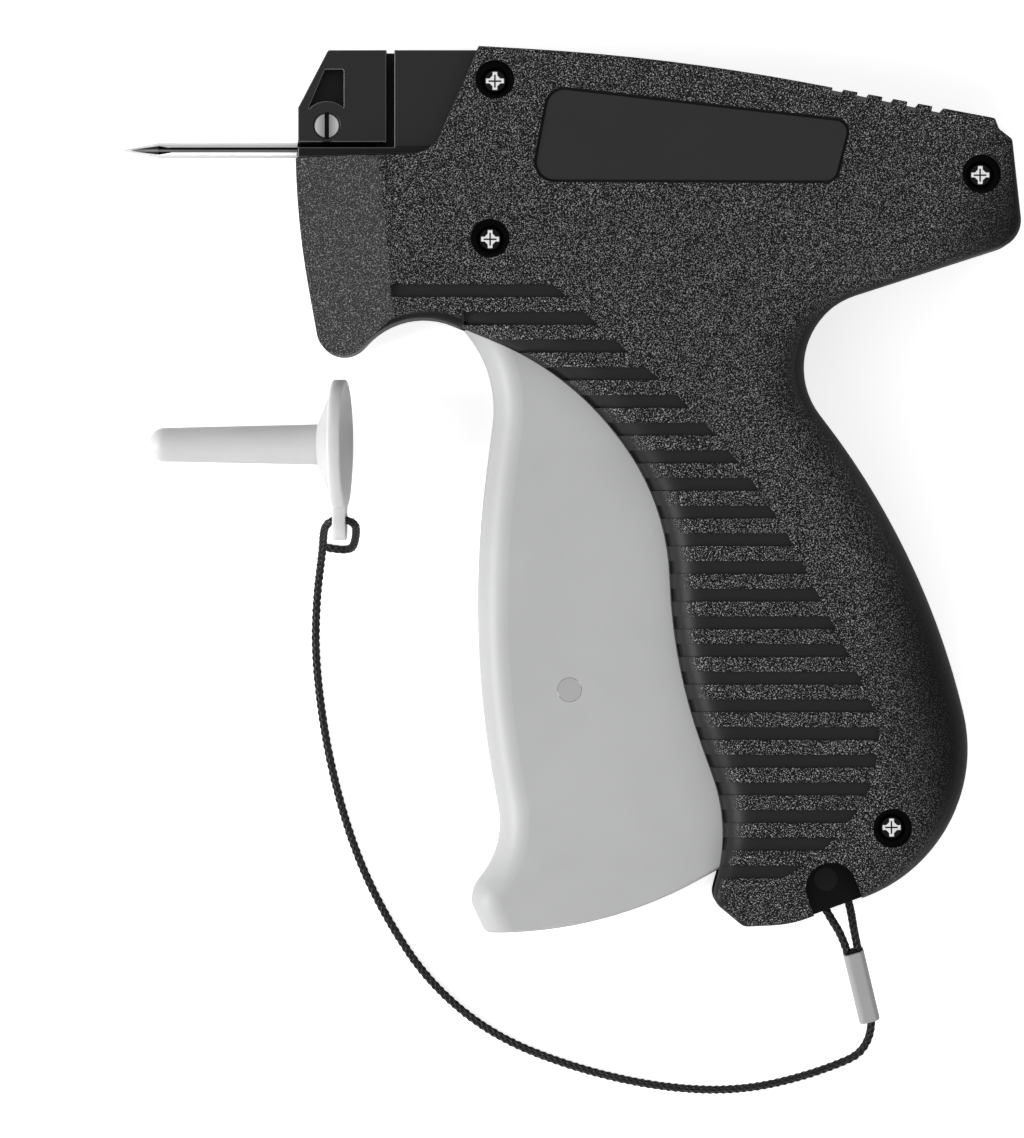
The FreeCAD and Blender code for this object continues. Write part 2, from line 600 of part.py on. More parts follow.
# ================================================================ lever and slide
def drive_lever():
    """Bell-shaped lever: a slot for the roller below its pivot and a fork above it."""
    centre = Vector(0, 0, 0)
    fork_half = SLIDE_PIN_R + FORK_GAP + FORK_CHEEK
    arm = plate(
        [(-3.2, 0, 0.0), (-fork_half, FORK_INNER_R, 4.0), (-fork_half, FORK_OUTER_R, 1.5),
         (fork_half, FORK_OUTER_R, 1.5), (fork_half, FORK_INNER_R, 4.0), (3.2, 0, 0.0)],
        -LEVER_HALF, LEVER_HALF)
    slot_half = SLIDE_PIN_R + FORK_GAP
    slot = block((-slot_half, slot_half), (FORK_INNER_R, FORK_OUTER_R + 1), (-3, 3))
    slot = slot.fuse(disc(Vector(0, FORK_INNER_R, 0), slot_half, -3, 3))
    near = POST_FROM_TRIGGER - LEVER_FROM_TRIGGER
    far = LEVER_PIVOT.distanceToPoint(POST)
    roller_half = ROLLER_R + ROLLER_GAP
    toe = plate(
        [(0, -3.2, 0.0), (far + 4.0, -roller_half - 1.9, 3.0), (far + 4.0, roller_half + 1.9, 3.0),
         (0, 3.2, 0.0)], -LEVER_HALF, LEVER_HALF)
    track = block((near, far), (-roller_half, roller_half), (-3, 3))
    for place in (near, far):
        track = track.fuse(disc(Vector(place, 0, 0), roller_half, -3, 3))
    toe = toe.cut(track)
    toe.rotate(centre, Vector(0, 0, 1), LINE_OF_PIVOTS)
    lever = arm.cut(slot).fuse(toe).fuse(disc(centre, LEVER_HUB_R, -LEVER_HUB_HALF, LEVER_HUB_HALF))
    lever = lever.cut(disc(centre, LEVER_PIN_R + FIT, -9, 9)).removeSplitter()
    lever.rotate(centre, Vector(0, 0, 1), -LEVER_SWING / 2)
    lever.translate(LEVER_PIVOT)
    return lever


def slide_carriage():
    """Block that slides in the barrel, slotted for the fork of the lever."""
    front = SLIDE_PIN.x - SLIDE_SLOT_HALF - SLIDE_FRONT_WALL
    rear = SLIDE_PIN.x + SLIDE_SLOT_HALF + SLIDE_REAR_WALL
    body = block((front, rear), (SLIDE_LOW, SLIDE_HIGH), (-SLIDE_HALF, SLIDE_HALF))
    corners = [e for e in body.Edges if e.BoundBox.ZLength > 1]
    body = body.makeFillet(0.8, corners)
    slot = block((SLIDE_PIN.x - SLIDE_SLOT_HALF, SLIDE_PIN.x + SLIDE_SLOT_HALF),
                 (SLIDE_LOW - 1, SLIDE_HIGH + 1), (-SLIDE_SLOT_WIDTH / 2, SLIDE_SLOT_WIDTH / 2))
    body = body.cut(slot)
    body = body.cut(disc(SLIDE_PIN, SLIDE_PIN_R + FIT, -SLIDE_HALF - 1, SLIDE_HALF + 1))
    bore = Part.makeCylinder(ROD_R + FIT, SLIDE_FRONT_WALL + 1, Vector(front - 1, BORE_Y, 0), Vector(1, 0, 0))
    return body.cut(bore)


def ejector_rod():
    """Wire rod that pushes the fastener through the needle."""
    end = SLIDE_PIN.x - SLIDE_SLOT_HALF
    rod = Part.makeCylinder(ROD_R, end - ROD_TIP_X, Vector(ROD_TIP_X, BORE_Y, 0), Vector(1, 0, 0))
    return rod.makeChamfer(0.25, [rod.Edges[e] for e in range(3) if rod.Edges[e].BoundBox.XMax < ROD_TIP_X + 0.1])


# ================================================================ head
def head_block():
    """Black head with the feed slot, the bore of the needle and the pocket of the lock."""
    outer = plate(HEAD_OUTLINE, -HEAD_HALF, HEAD_HALF)
    inner = plate(TONGUE_OUTLINE, -TONGUE_HALF, TONGUE_HALF)
    head = outer.fuse(inner).removeSplitter()
    head = head.cut(disc(HEAD_SCREW, COUNTERBORE_R + BOSS_WALL + SEAT, -HEAD_HALF - 1, HEAD_HALF + 1))
    z_range = (FEED_SLOT_FLOOR, HEAD_HALF + 1)
    head = head.cut(block(FEED_SLOT_X, (FEED_SLOT_Y[0], 80.0), z_range))
    head = head.cut(block((-50.0, FEED_SLOT_X[1]), FEED_SLOT_Y, (-NEEDLE_R, HEAD_HALF + 1)))
    bore = Part.makeCylinder(HUB_R + FIT, HUB_X[1] - HUB_X[0] + 1, Vector(HUB_X[0] - 1, BORE_Y, 0), Vector(1, 0, 0))
    rod_way = Part.makeCylinder(ROD_R + 0.2, 40.0, Vector(-46.0, BORE_Y, 0), Vector(1, 0, 0))
    head = head.cut([bore, rod_way])
    window = plate(WINDOW, HEAD_HALF - WINDOW_DEPTH, HEAD_HALF + 1)
    head = head.cut(window.cut(disc(LOCK, WINDOW_ARC_R, 0, HEAD_HALF + 2)))
    head = head.cut(disc(LOCK, LOCK_HEAD_R + FIT, HEAD_HALF - LOCK_HEAD_H - 0.1, HEAD_HALF + 1))
    head = head.cut(disc(LOCK, LOCK_SHAFT_R + FIT, LOCK_FOOT_Z - 0.2, HEAD_HALF))
    head = head.cut(disc(WHEEL, WHEEL_TIP_R + RUN, WHEEL_Z[0] - RUN, WHEEL_Z[1] + RUN))
    head = head.cut(disc(WHEEL, AXLE_R + FIT, -TONGUE_HALF - 1, 0.0))
    blade = block((BLADE[0] - FIT, FEED_SLOT_X[0] + 0.1), (57.5, 62.2), (-0.1, HEAD_HALF - 1.0))
    head = head.makeFillet(HEAD_EDGE, [e for e in head.Edges if e.BoundBox.ZMin > HEAD_HALF - 0.01])
    return head.cut(blade)


def needle_hub():
    """Plastic hub of the needle, notched for the lock and slotted in line with the slit."""
    hub = Part.makeCylinder(HUB_R, HUB_X[1] - HUB_X[0], Vector(HUB_X[0], BORE_Y, 0), Vector(1, 0, 0))
    hub = hub.cut(disc(LOCK, LOCK_SHAFT_R + SEAT, -5, 5))
    hub = hub.cut(block((-50, -20), (FEED_SLOT_Y[0], FEED_SLOT_Y[0] + NEEDLE_SLIT), (0, 5)))
    return hub.cut(Part.makeCylinder(NEEDLE_ROOT_R + FIT, 40.0, Vector(-60, BORE_Y, 0), Vector(1, 0, 0)))


def needle_mouth():
    """Cutter of the needle's lens-shaped mouth, which runs out into the slit."""
    tip, wide, rear = (Vector(x, BORE_Y, 0) for x in MOUTH_X)
    side = Vector(0, MOUTH_WIDE, 0)
    quarter = Vector((MOUTH_X[0] + MOUTH_X[1]) / 2, BORE_Y, 0)
    outline = [
        Part.Arc(tip, quarter + side * MOUTH_BULGE, wide + side).toShape(),
        Part.LineSegment(wide + side, rear + Vector(0, NEEDLE_SLIT / 2, 0)).toShape(),
        Part.LineSegment(rear + Vector(0, NEEDLE_SLIT / 2, 0), rear - Vector(0, NEEDLE_SLIT / 2, 0)).toShape(),
        Part.LineSegment(rear - Vector(0, NEEDLE_SLIT / 2, 0), wide - side).toShape(),
        Part.Arc(wide - side, quarter - side * MOUTH_BULGE, tip).toShape(),
    ]
    return prism(Part.Face(Part.Wire(outline)), MOUTH_FLOOR_Z, 2.0)


def needle_tube():
    """Slit steel needle with a long sharpened mouth."""
    axis = Vector(1, 0, 0)
    barrel = Part.makeCylinder(NEEDLE_R, NEEDLE_SHANK_X - NEEDLE_BEVEL_X, Vector(NEEDLE_BEVEL_X, BORE_Y, 0), axis)
    root = Part.makeCylinder(NEEDLE_ROOT_R, NEEDLE_TAIL_X - NEEDLE_SHANK_X, Vector(NEEDLE_SHANK_X, BORE_Y, 0), axis)
    tip = Part.makeCone(0.05, NEEDLE_R, NEEDLE_BEVEL_X - NEEDLE_TIP_X, Vector(NEEDLE_TIP_X, BORE_Y, 0), axis)
    bore = Part.makeCylinder(NEEDLE_BORE_R, 50.0, Vector(NEEDLE_BORE_X, BORE_Y, 0), axis)
    slit_y = BORE_Y + NEEDLE_SLIT_Y
    slit = block((MOUTH_X[2] - 0.2, 0.0), (slit_y - NEEDLE_SLIT / 2, slit_y + NEEDLE_SLIT / 2), (0, 3))
    return barrel.fuse([tip, root]).cut([bore, slit, needle_mouth()]).removeSplitter()


def needle_lock():
    """Slotted lock screw whose shaft holds the notch of the needle's hub."""
    lock = disc(LOCK, LOCK_HEAD_R, HEAD_HALF - LOCK_HEAD_H, HEAD_HALF - 0.1)
    shaft = disc(LOCK, LOCK_SHAFT_R, LOCK_FOOT_Z, HEAD_HALF - LOCK_HEAD_H)
    flat = block((LOCK.x - 4, LOCK.x - LOCK_FLAT), (LOCK.y - 4, LOCK.y + 4), (LOCK_FOOT_Z - 1, HUB_R + 1))
    slot = block((LOCK.x - LOCK_SLOT / 2, LOCK.x + LOCK_SLOT / 2), (LOCK.y - 4, LOCK.y + 4),
                 (HEAD_HALF - 0.1 - LOCK_SLOT_DEPTH, HEAD_HALF + 1))
    lock = lock.makeChamfer(HEAD_EDGE, [e for e in lock.Edges if e.BoundBox.ZMin > HEAD_HALF - 0.2])
    return lock.fuse(shaft.cut(flat)).cut(slot)


def cutter_blade():
    """Thin steel blade that parts the fastener from its strip."""
    return block(BLADE, (57.9, 62.0), (0.0, HEAD_HALF - 1.2))


def feed_wheel():
    """Toothed wheel that moves the strip on by one fastener."""
    points = []
    for i in range(WHEEL_TEETH):
        base = 360.0 / WHEEL_TEETH * i
        for radius, part in ((WHEEL_ROOT_R, 0.0), (WHEEL_ROOT_R, 0.45), (WHEEL_TIP_R, 0.6), (WHEEL_TIP_R, 0.75)):
            points.append(polar(WHEEL, radius, base + part * 360.0 / WHEEL_TEETH))
    points.append(points[0])
    wheel = prism(Part.Face(Part.makePolygon(points)), *WHEEL_Z)
    return wheel.cut(disc(WHEEL, AXLE_R + FIT, -5, 5))


def feed_axle():
    """Axle of the feed wheel, held in the tongue of the head."""
    return disc(WHEEL, AXLE_R, -TONGUE_HALF + 0.5, -0.4)


# ================================================================ return spring
def along_spring(distance):
    """Point at a distance from the trigger's pin, on the axis of the return spring."""
    return SPRING_PIN + (SPRING_SEAT - SPRING_PIN).normalize() * distance


def spring_cup():
    """Cup on the trigger's pin that carries the front end of the return spring."""
    axis = SPRING_SEAT - SPRING_PIN
    width = TRIGGER_HALF - TRIGGER_WALL - RUN
    cup = disc(SPRING_PIN, SPRING_PIN_R + 1.8, -width, width)
    flange = Part.makeCylinder(CUP_R, 1.5, along_spring(CUP_LENGTH - 1.5), axis)
    neck = Part.makeCylinder(SPIGOT_R, CUP_LENGTH + SPIGOT_LENGTH - 1.0, along_spring(1.0), axis)
    return cup.fuse(flange).fuse(neck).cut(disc(SPRING_PIN, SPRING_PIN_R + FIT, -9, 9)).removeSplitter()


def spring_seat():
    """Plug at the back of the handle that carries the rear end of the return spring."""
    axis = SPRING_SEAT - SPRING_PIN
    face = Part.Face(Part.Wire(outline_edges(HOUSING)[0])).makeOffset2D(-WALL - SEAT)
    room = prism(face, -CHANNEL_HALF, CHANNEL_HALF)
    plug = Part.makeCylinder(CUP_R + 0.4, 20.0, SPRING_SEAT, axis).common(room)
    backward = axis * -1
    spigot = Part.makeCylinder(SPIGOT_R, SPIGOT_LENGTH, SPRING_SEAT, backward)
    return plug.fuse(spigot).removeSplitter()


def return_spring():
    """Compression spring between the cup and the seat."""
    start = CUP_LENGTH + SPRING_WIRE_R
    length = (SPRING_SEAT - SPRING_PIN).Length - start - SPRING_WIRE_R
    helix = Part.makeHelix(length / SPRING_COILS, length, SPRING_R)
    section = Part.Wire(Part.makeCircle(SPRING_WIRE_R, Vector(SPRING_R, 0, 0), Vector(0, 1, 0)))
    wire = Part.Wire(helix).makePipeShell([section], True, True)
    axis = (SPRING_SEAT - SPRING_PIN).normalize()
    wire.Placement = FreeCAD.Placement(along_spring(start), Rotation(Vector(0, 0, 1), axis))
    return wire


# ================================================================ pivots
def pivot_pin(pivot):
    """Steel pin across the housing."""
    reach = CAVITY_HALF - 0.5 - SEAT
    return disc(pivot, PIVOT_PIN_R, -reach, reach)


def lanyard_post():
    """Waisted pin between the ears of the lanyard notch."""
    waist = disc(LANYARD_POST, LANYARD_WAIST_R, -EAR_GAP_HALF, EAR_GAP_HALF)
    end = disc(LANYARD_POST, LANYARD_POST_R, EAR_GAP_HALF, EAR_HALF)
    return waist.fuse([end, mirrored(end)])


# ================================================================ lanyard
def post_frame(out, side, height=0.0):
    """Point beside the lanyard post: along the strands, across them, and above the parting plane."""
    across = Vector(-LANYARD_AXIS.y, LANYARD_AXIS.x, 0)
    return LANYARD_POST + LANYARD_AXIS * out + across * side + Vector(0, 0, height)


TABLE = -BODY_HALF                 # height of the table from the parting plane
LYING = TABLE + CORD_R + 0.02      # axis of a cord that lies on the table


def sleeve_ends():
    """Upper and lower end of the crimp sleeve's axis."""
    return Vector(47.45, -77.35, TABLE + 10.0), Vector(50.35, -88.95, TABLE + 3.5)


def sleeve_axes():
    """Directions along the crimp sleeve, across its flat faces' width, and through its thickness."""
    upper, lower = sleeve_ends()
    along = (lower - upper).normalize()
    across = Vector(-LANYARD_AXIS.y, LANYARD_AXIS.x, 0)
    across = (across - along * across.dot(along)).normalize()
    return along, across, along.cross(across)


def cord_route():
    """Points of the lanyard, from the sleeve round the post and out to the loop in the cap's tab."""
    upper, lower = sleeve_ends()
    along, across, _ = sleeve_axes()
    strand = across * STRAND_OFFSET
    hole = cap_point(0.0, -CAP_HOLE_REACH)
    return [
        upper + along * 6.0 - strand,
        upper - along * STRAND_LEAD - strand,
        post_frame(5.4, -1.7, -0.4),
        post_frame(-1.4, -2.45),
        post_frame(-2.83, 0.0),
        post_frame(-1.4, 2.45),
        post_frame(5.4, 2.4, -0.4),
        upper - along * STRAND_LEAD + strand,
        lower + along * 5.6 + strand,
        Vector(41.2, -98.3, LYING),
        Vector(28.6, -101.2, LYING),
        Vector(15.1, -100.6, LYING),
        Vector(0.7, -97.3, LYING),
        Vector(-12.9, -91.9, LYING),
        Vector(-23.6, -83.1, LYING),
        Vector(-31.0, -72.0, LYING),
        Vector(-36.6, -60.0, LYING),
        Vector(-40.8, -44.6, LYING),
        Vector(-42.9, -29.0, LYING),
        Vector(-42.7, -18.5, LYING + 0.6),
        hole + Vector(-3.0, -5.0, -6.5),
        hole + Vector(-2.6, 0.0, 0.0),
        hole + Vector(2.6, 0.0, 0.0),
        Vector(-35.9, -8.0, -8.0),
        Vector(-37.0, -10.6, LYING),
        Vector(-41.9, -9.4, LYING),
    ]


def cord_path(points):
    """Straight runs joined by tangent arcs, as large as the runs allow."""
    tangents = []
    radii = []
    for before, here, after in zip(points, points[1:], points[2:]):
        back = before - here
        ahead = after - here
        reach = 0.45 * min(back.Length, ahead.Length)
        half = back.getAngle(ahead) / 2
        radius = reach * math.tan(half)
        inward = (back.normalize() + ahead.normalize()).normalize()
        middle = here + inward * (radius / math.sin(half) - radius)
        tangents.append((here + back * reach, middle, here + ahead * reach))
        radii.append(radius)
    edges = []
    last = points[0]
    for start, middle, end in tangents:
        edges.append(Part.LineSegment(last, start).toShape())
        edges.append(Part.Arc(start, middle, end).toShape())
        last = end
    edges.append(Part.LineSegment(last, points[-1]).toShape())
    return Part.Wire(edges), radii


def lanyard_cord():
    """Plain round cord along its route."""
    path, radii = cord_path(cord_route())
    start = path.Edges[0].Vertexes[0].Point
    direction = path.Edges[0].tangentAt(path.Edges[0].FirstParameter)
    section = Part.Wire(Part.makeCircle(CORD_R, start, direction))
    tube = path.makePipeShell([section], True, True)
    print("cord radii", [round(radius, 1) for radius in radii])
    print("cord length", round(path.Length, 1), "volume", round(tube.Volume, 1),
          "section times length", round(math.pi * CORD_R ** 2 * path.Length, 1))
    return tube


def crimp_sleeve():
    """Flattened sleeve that clamps the two strands."""
    upper, lower = sleeve_ends()
    along, across, through = sleeve_axes()
    turn = FreeCAD.Placement(Matrix(
        across.x, through.x, along.x, upper.x,
        across.y, through.y, along.y, upper.y,
        across.z, through.z, along.z, upper.z,
        0, 0, 0, 1))
    half_w = SLEEVE_WIDTH / 2
    half_t = SLEEVE_THICK / 2
    length = (lower - upper).Length
    outer = plate([(-half_w, -half_t, 0.9), (half_w, -half_t, 0.9), (half_w, half_t, 0.9), (-half_w, half_t, 0.9)],
                  0, length)
    bore_w = half_w - 0.15
    bore_t = CORD_R + 0.05
    bore = plate([(-bore_w, -bore_t, 0.7), (bore_w, -bore_t, 0.7), (bore_w, bore_t, 0.7), (-bore_w, bore_t, 0.7)],
                 -1, length + 1)
    sleeve = outer.cut(bore)
    sleeve.Placement = turn
    return sleeve


# ================================================================ needle cap
def cap_placement():
    """Place of the cap: its axis points from the flange to the tip, down to the table."""
    tilt = math.radians(CAP_TILT)
    core = Vector(CAP_FLANGE_THICK / 2 - CAP_EDGE, 0, CAP_FLANGE_R - CAP_EDGE)
    height = core.z * math.cos(tilt) + core.x * math.sin(tilt) + CAP_EDGE
    centre = CAP_RIM + Vector(0, 0, TABLE + height + 0.02)
    return FreeCAD.Placement(centre, Rotation(Vector(0, 1, 0), -CAP_TILT))


def cap_point(along, across):
    """Point of the cap: from the flange towards the tip, and across its axis."""
    return cap_placement().multVec(Vector(-along, across, 0))


def needle_cap():
    """Hollow needle cap with a flange and a tab for the lanyard."""
    flange_face = CAP_FLANGE_THICK / 2
    tip = -CAP_LENGTH + flange_face
    profile = [
        Vector(flange_face, 0, 0), Vector(flange_face, CAP_FLANGE_R, 0), Vector(-flange_face, CAP_FLANGE_R, 0),
        Vector(-flange_face, CAP_FLARE_R, 0), Vector(-flange_face - CAP_FLARE_LENGTH, CAP_ROOT_R, 0),
        Vector(tip, CAP_TIP_R, 0), Vector(tip, 0, 0), Vector(flange_face, 0, 0),
    ]
    body = Part.Face(Part.makePolygon(profile)).revolve(Vector(0, 0, 0), Vector(1, 0, 0), 360)
    end = [e for e in body.Edges if e.BoundBox.XMax < tip + 0.01 and e.Length > 1]
    body = body.makeFillet(CAP_TIP_ROUND, end)
    rim = [e for e in body.Edges if abs(e.Length - 2 * math.pi * CAP_FLANGE_R) < 0.1]
    body = body.makeFillet(CAP_EDGE, rim)
    tab = block((-CAP_TAB_THICK / 2, CAP_TAB_THICK / 2), (-CAP_TAB_REACH, -CAP_FLANGE_R + 0.6),
                (-CAP_TAB_WIDTH / 2, CAP_TAB_WIDTH / 2))
    ends = [e for e in tab.Edges if e.BoundBox.XLength > 0.5 and e.BoundBox.YMax < -CAP_TAB_REACH + 0.1]
    tab = tab.makeFillet(2.0, ends)
    body = body.fuse(tab)
    bore = Part.makeCylinder(CAP_BORE_R, CAP_BORE_DEPTH, Vector(flange_face, 0, 0), Vector(-1, 0, 0))
    dish = Part.makeCone(CAP_BORE_R, CAP_DISH_R, CAP_DISH_DEPTH, Vector(flange_face - CAP_DISH_DEPTH, 0, 0),
                         Vector(1, 0, 0))
    hole = Part.makeCylinder(CAP_HOLE_R, 9.0, Vector(-4.5, -CAP_HOLE_REACH, 0), Vector(1, 0, 0))
    body = body.cut([bore, dish, hole]).removeSplitter()
    body.Placement = cap_placement()
    return body


# ================================================================ the gun
def main():
    """Build every piece and write it, lifted on to the table."""
    os.makedirs("parts", exist_ok=True)
    half = housing_half()
    pieces = {
        "left_shell": left_shell(half),
        "right_shell": right_shell(half),
        "side_panel": side_panel(),
        "case_screws": case_screws(),
        "trigger": trigger(),
        "trigger_pivot_pin": pivot_pin(TRIGGER_PIVOT),
        "trigger_spring_pin": spring_pin(),
        "drive_post": drive_post(),
        "drive_roller": drive_roller(),
        "drive_lever": drive_lever(),
        "lever_pivot_pin": pivot_pin(LEVER_PIVOT),
        "slide_carriage": slide_carriage(),
        "slide_pin": disc(SLIDE_PIN, SLIDE_PIN_R, -SLIDE_HALF, SLIDE_HALF),
        "ejector_rod": ejector_rod(),
        "head_block": head_block(),
        "needle_hub": needle_hub(),
        "needle_tube": needle_tube(),
        "needle_lock": needle_lock(),
        "cutter_blade": cutter_blade(),
        "feed_wheel": feed_wheel(),
        "feed_axle": feed_axle(),
        "return_spring": return_spring(),
        "spring_cup": spring_cup(),
        "spring_seat": spring_seat(),
        "lanyard_post": lanyard_post(),
        "lanyard_cord": lanyard_cord(),
        "crimp_sleeve": crimp_sleeve(),
        "needle_cap": needle_cap(),
    }
    for name, shape in pieces.items():
        lifted = shape.copy()
        lifted.translate(Vector(-MIDDLE[0], -MIDDLE[1], BODY_HALF))
        lifted.exportStep("parts/" + name + ".step")
        print(name, len(lifted.Solids), "solids", round(lifted.Volume, 1), lifted.isValid())


main()
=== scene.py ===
"""Garment tag attacher: looks of the gun, its lanyard and its needle cap, and the stage."""
import math

import bpy
from mathutils import Matrix, Vector


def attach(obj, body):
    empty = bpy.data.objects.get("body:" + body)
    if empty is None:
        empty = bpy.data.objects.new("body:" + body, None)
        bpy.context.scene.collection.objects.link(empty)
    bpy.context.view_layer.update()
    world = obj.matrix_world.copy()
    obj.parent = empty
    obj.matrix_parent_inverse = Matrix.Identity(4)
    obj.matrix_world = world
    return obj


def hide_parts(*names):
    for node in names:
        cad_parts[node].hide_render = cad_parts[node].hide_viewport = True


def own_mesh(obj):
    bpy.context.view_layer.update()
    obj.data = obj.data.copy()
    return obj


bl_info = {
    "name": "Garment Tag Attacher",
    "version": (1, 0, 0),
    "blender": (4, 5, 0),
    "location": "View3D > Sidebar > Tag Attacher",
    "description": "Dresses a garment tag attacher with its lanyard and needle cap",
    "category": "Object",
}

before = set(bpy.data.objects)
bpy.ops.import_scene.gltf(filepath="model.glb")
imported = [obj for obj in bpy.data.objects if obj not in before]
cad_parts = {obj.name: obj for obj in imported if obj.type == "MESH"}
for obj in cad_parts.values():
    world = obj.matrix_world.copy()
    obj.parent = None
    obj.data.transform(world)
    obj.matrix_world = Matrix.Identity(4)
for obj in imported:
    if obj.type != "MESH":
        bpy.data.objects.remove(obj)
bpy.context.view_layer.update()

# The drawing is in millimetres; its parting plane, where the two housing halves meet, is at height nought.
MM = 0.001
SHIFT = Vector((-0.15, 0.1, 13.0))     # from the drawing's origin to the model's
TABLE = -13.0                          # height of the table
CORD_R = 0.75
LYING = TABLE + CORD_R + 0.02          # height of the middle of the cord where it lies on the table


def in_model(point):
    """Point of the drawing as a point of the model, in metres."""
    return (point + SHIFT) * MM


# ---------------------------------------------------------------- settings
def colour(name, description, default):
    """Linear colour setting."""
    return bpy.props.FloatVectorProperty(
        name=name, description=description, default=default, size=3, subtype="COLOR", min=0.0, max=1.0)


def length(name, description, default):
    """Length setting in metres."""
    return bpy.props.FloatProperty(
        name=name, description=description, default=default, min=0.0, subtype="DISTANCE", unit="LENGTH")


def power(name, description, default):
    """Power of a lamp in watts."""
    return bpy.props.FloatProperty(name=name, description=description, default=default, min=0.0, unit="POWER")


def share(name, description, default):
    """Setting from nought to one."""
    return bpy.props.FloatProperty(
        name=name, description=description, default=default, min=0.0, max=1.0, subtype="FACTOR")


class TAGGUN_PG_stage(bpy.types.PropertyGroup):
    """Camera, table and lamps."""

    view_height: length("View Height", "Height of the camera over the gun's middle", 2.0)
    view_middle_x: bpy.props.FloatProperty(
        name="View Middle X", description="Middle of the view from left to right", default=-0.0099, unit="LENGTH")
    view_middle_y: bpy.props.FloatProperty(
        name="View Middle Y", description="Middle of the view from foot to head", default=-0.01315, unit="LENGTH")
    view_tall: length("View Tall", "Extent of the view from foot to head", 0.18967)
    view_level: length("View Level", "Height over the table at which that extent holds", 0.022)
    table_colour: colour("Table", "Colour of the table", (0.9, 0.9, 0.9))
    table_glow: share("Table Glow", "What keeps the table white where it is in shade", 0.7)
    key_power: power("Key Power", "Power of the lamp on the left", 7.6)
    fill_power: power("Fill Power", "Power of the lamp on the right", 0.6)
    foot_power: power("Foot Power", "Power of the lamp beyond the foot of the handle", 1.8)
    sky_strength: share("Sky Strength", "Strength of the soft light from all round", 0.33)
    sky_rim: share("Sky Rim", "Brightness low in the sky, as smooth surfaces mirror it", 0.3)
    sky_crown: share("Sky Crown", "Brightness overhead, as smooth surfaces mirror it", 0.9)


class TAGGUN_PG_housing(bpy.types.PropertyGroup):
    """Textured housing and its smooth parts."""

    # The grain's colours are partly painted light: ridges painted light as highlights, valleys painted dark as shade.
    dark: colour("Grain Low", "Colour in the valleys of the grain", (0.002, 0.002, 0.0021))
    light: colour("Grain High", "Colour on the ridges of the grain", (0.44, 0.44, 0.445))
    nose_valley_shade: colour("Nose Low", "Colour in the valleys of the finer grain of the nose", (0.028, 0.028, 0.029))
    nose_ridge_highlight: colour("Nose High", "Colour on the ridges there", (0.32, 0.32, 0.325))
    smooth: colour("Smooth", "Colour of rolled edges, grooves and recesses", (0.018, 0.018, 0.0184))
    grain: bpy.props.FloatProperty(
        name="Grain Size", description="Size of one wrinkle of the grain in millimetres", default=0.18, min=0.05)
    grain_height: length("Grain Height", "Height of the grain", 0.00016)
    head: colour("Head", "Colour of the head block", (0.015, 0.015, 0.0154))
    panel: colour("Panel", "Colour of the side panel", (0.02, 0.02, 0.0206))


class TAGGUN_PG_plastics(bpy.types.PropertyGroup):
    """Light plastics."""

    trigger: colour("Trigger", "Colour of the trigger", (0.49, 0.492, 0.495))
    cap: colour("Cap", "Colour of the needle cap", (0.57, 0.57, 0.57))
    inner: colour("Inner", "Colour of the pieces inside", (0.62, 0.61, 0.58))
    roughness: share("Roughness", "Roughness of the trigger", 0.38)


class TAGGUN_PG_metals(bpy.types.PropertyGroup):
    """Metals."""

    steel: colour("Steel", "Colour of the bright steel", (0.86, 0.86, 0.87))
    black: colour("Blackened", "Colour of the blackened screw heads", (0.012, 0.012, 0.0125))
    lock: colour("Lock", "Colour of the screw that holds the needle", (0.42, 0.42, 0.42))
    # Painted shade inside the hollow needle.
    bore: colour("Bore", "Colour inside the hollow needle", (0.03, 0.03, 0.03))
    sleeve: colour("Sleeve", "Colour of the crimped sleeve", (0.4, 0.4, 0.405))
    roughness: share("Roughness", "Roughness of the bright steel", 0.22)


class TAGGUN_PG_lanyard(bpy.types.PropertyGroup):
    """Braided cord."""

    radius: length("Radius", "Radius of the cord", CORD_R * MM)
    lay: length("Lay", "Length in which a strand goes once round", 0.0046)
    strand: length("Strand", "Radius of one strand", 0.0002)
    weave: length("Weave", "How far a strand rises and falls where it crosses others", 0.00006)
    colour: colour("Colour", "Colour of the yarn", (0.005, 0.005, 0.0052))


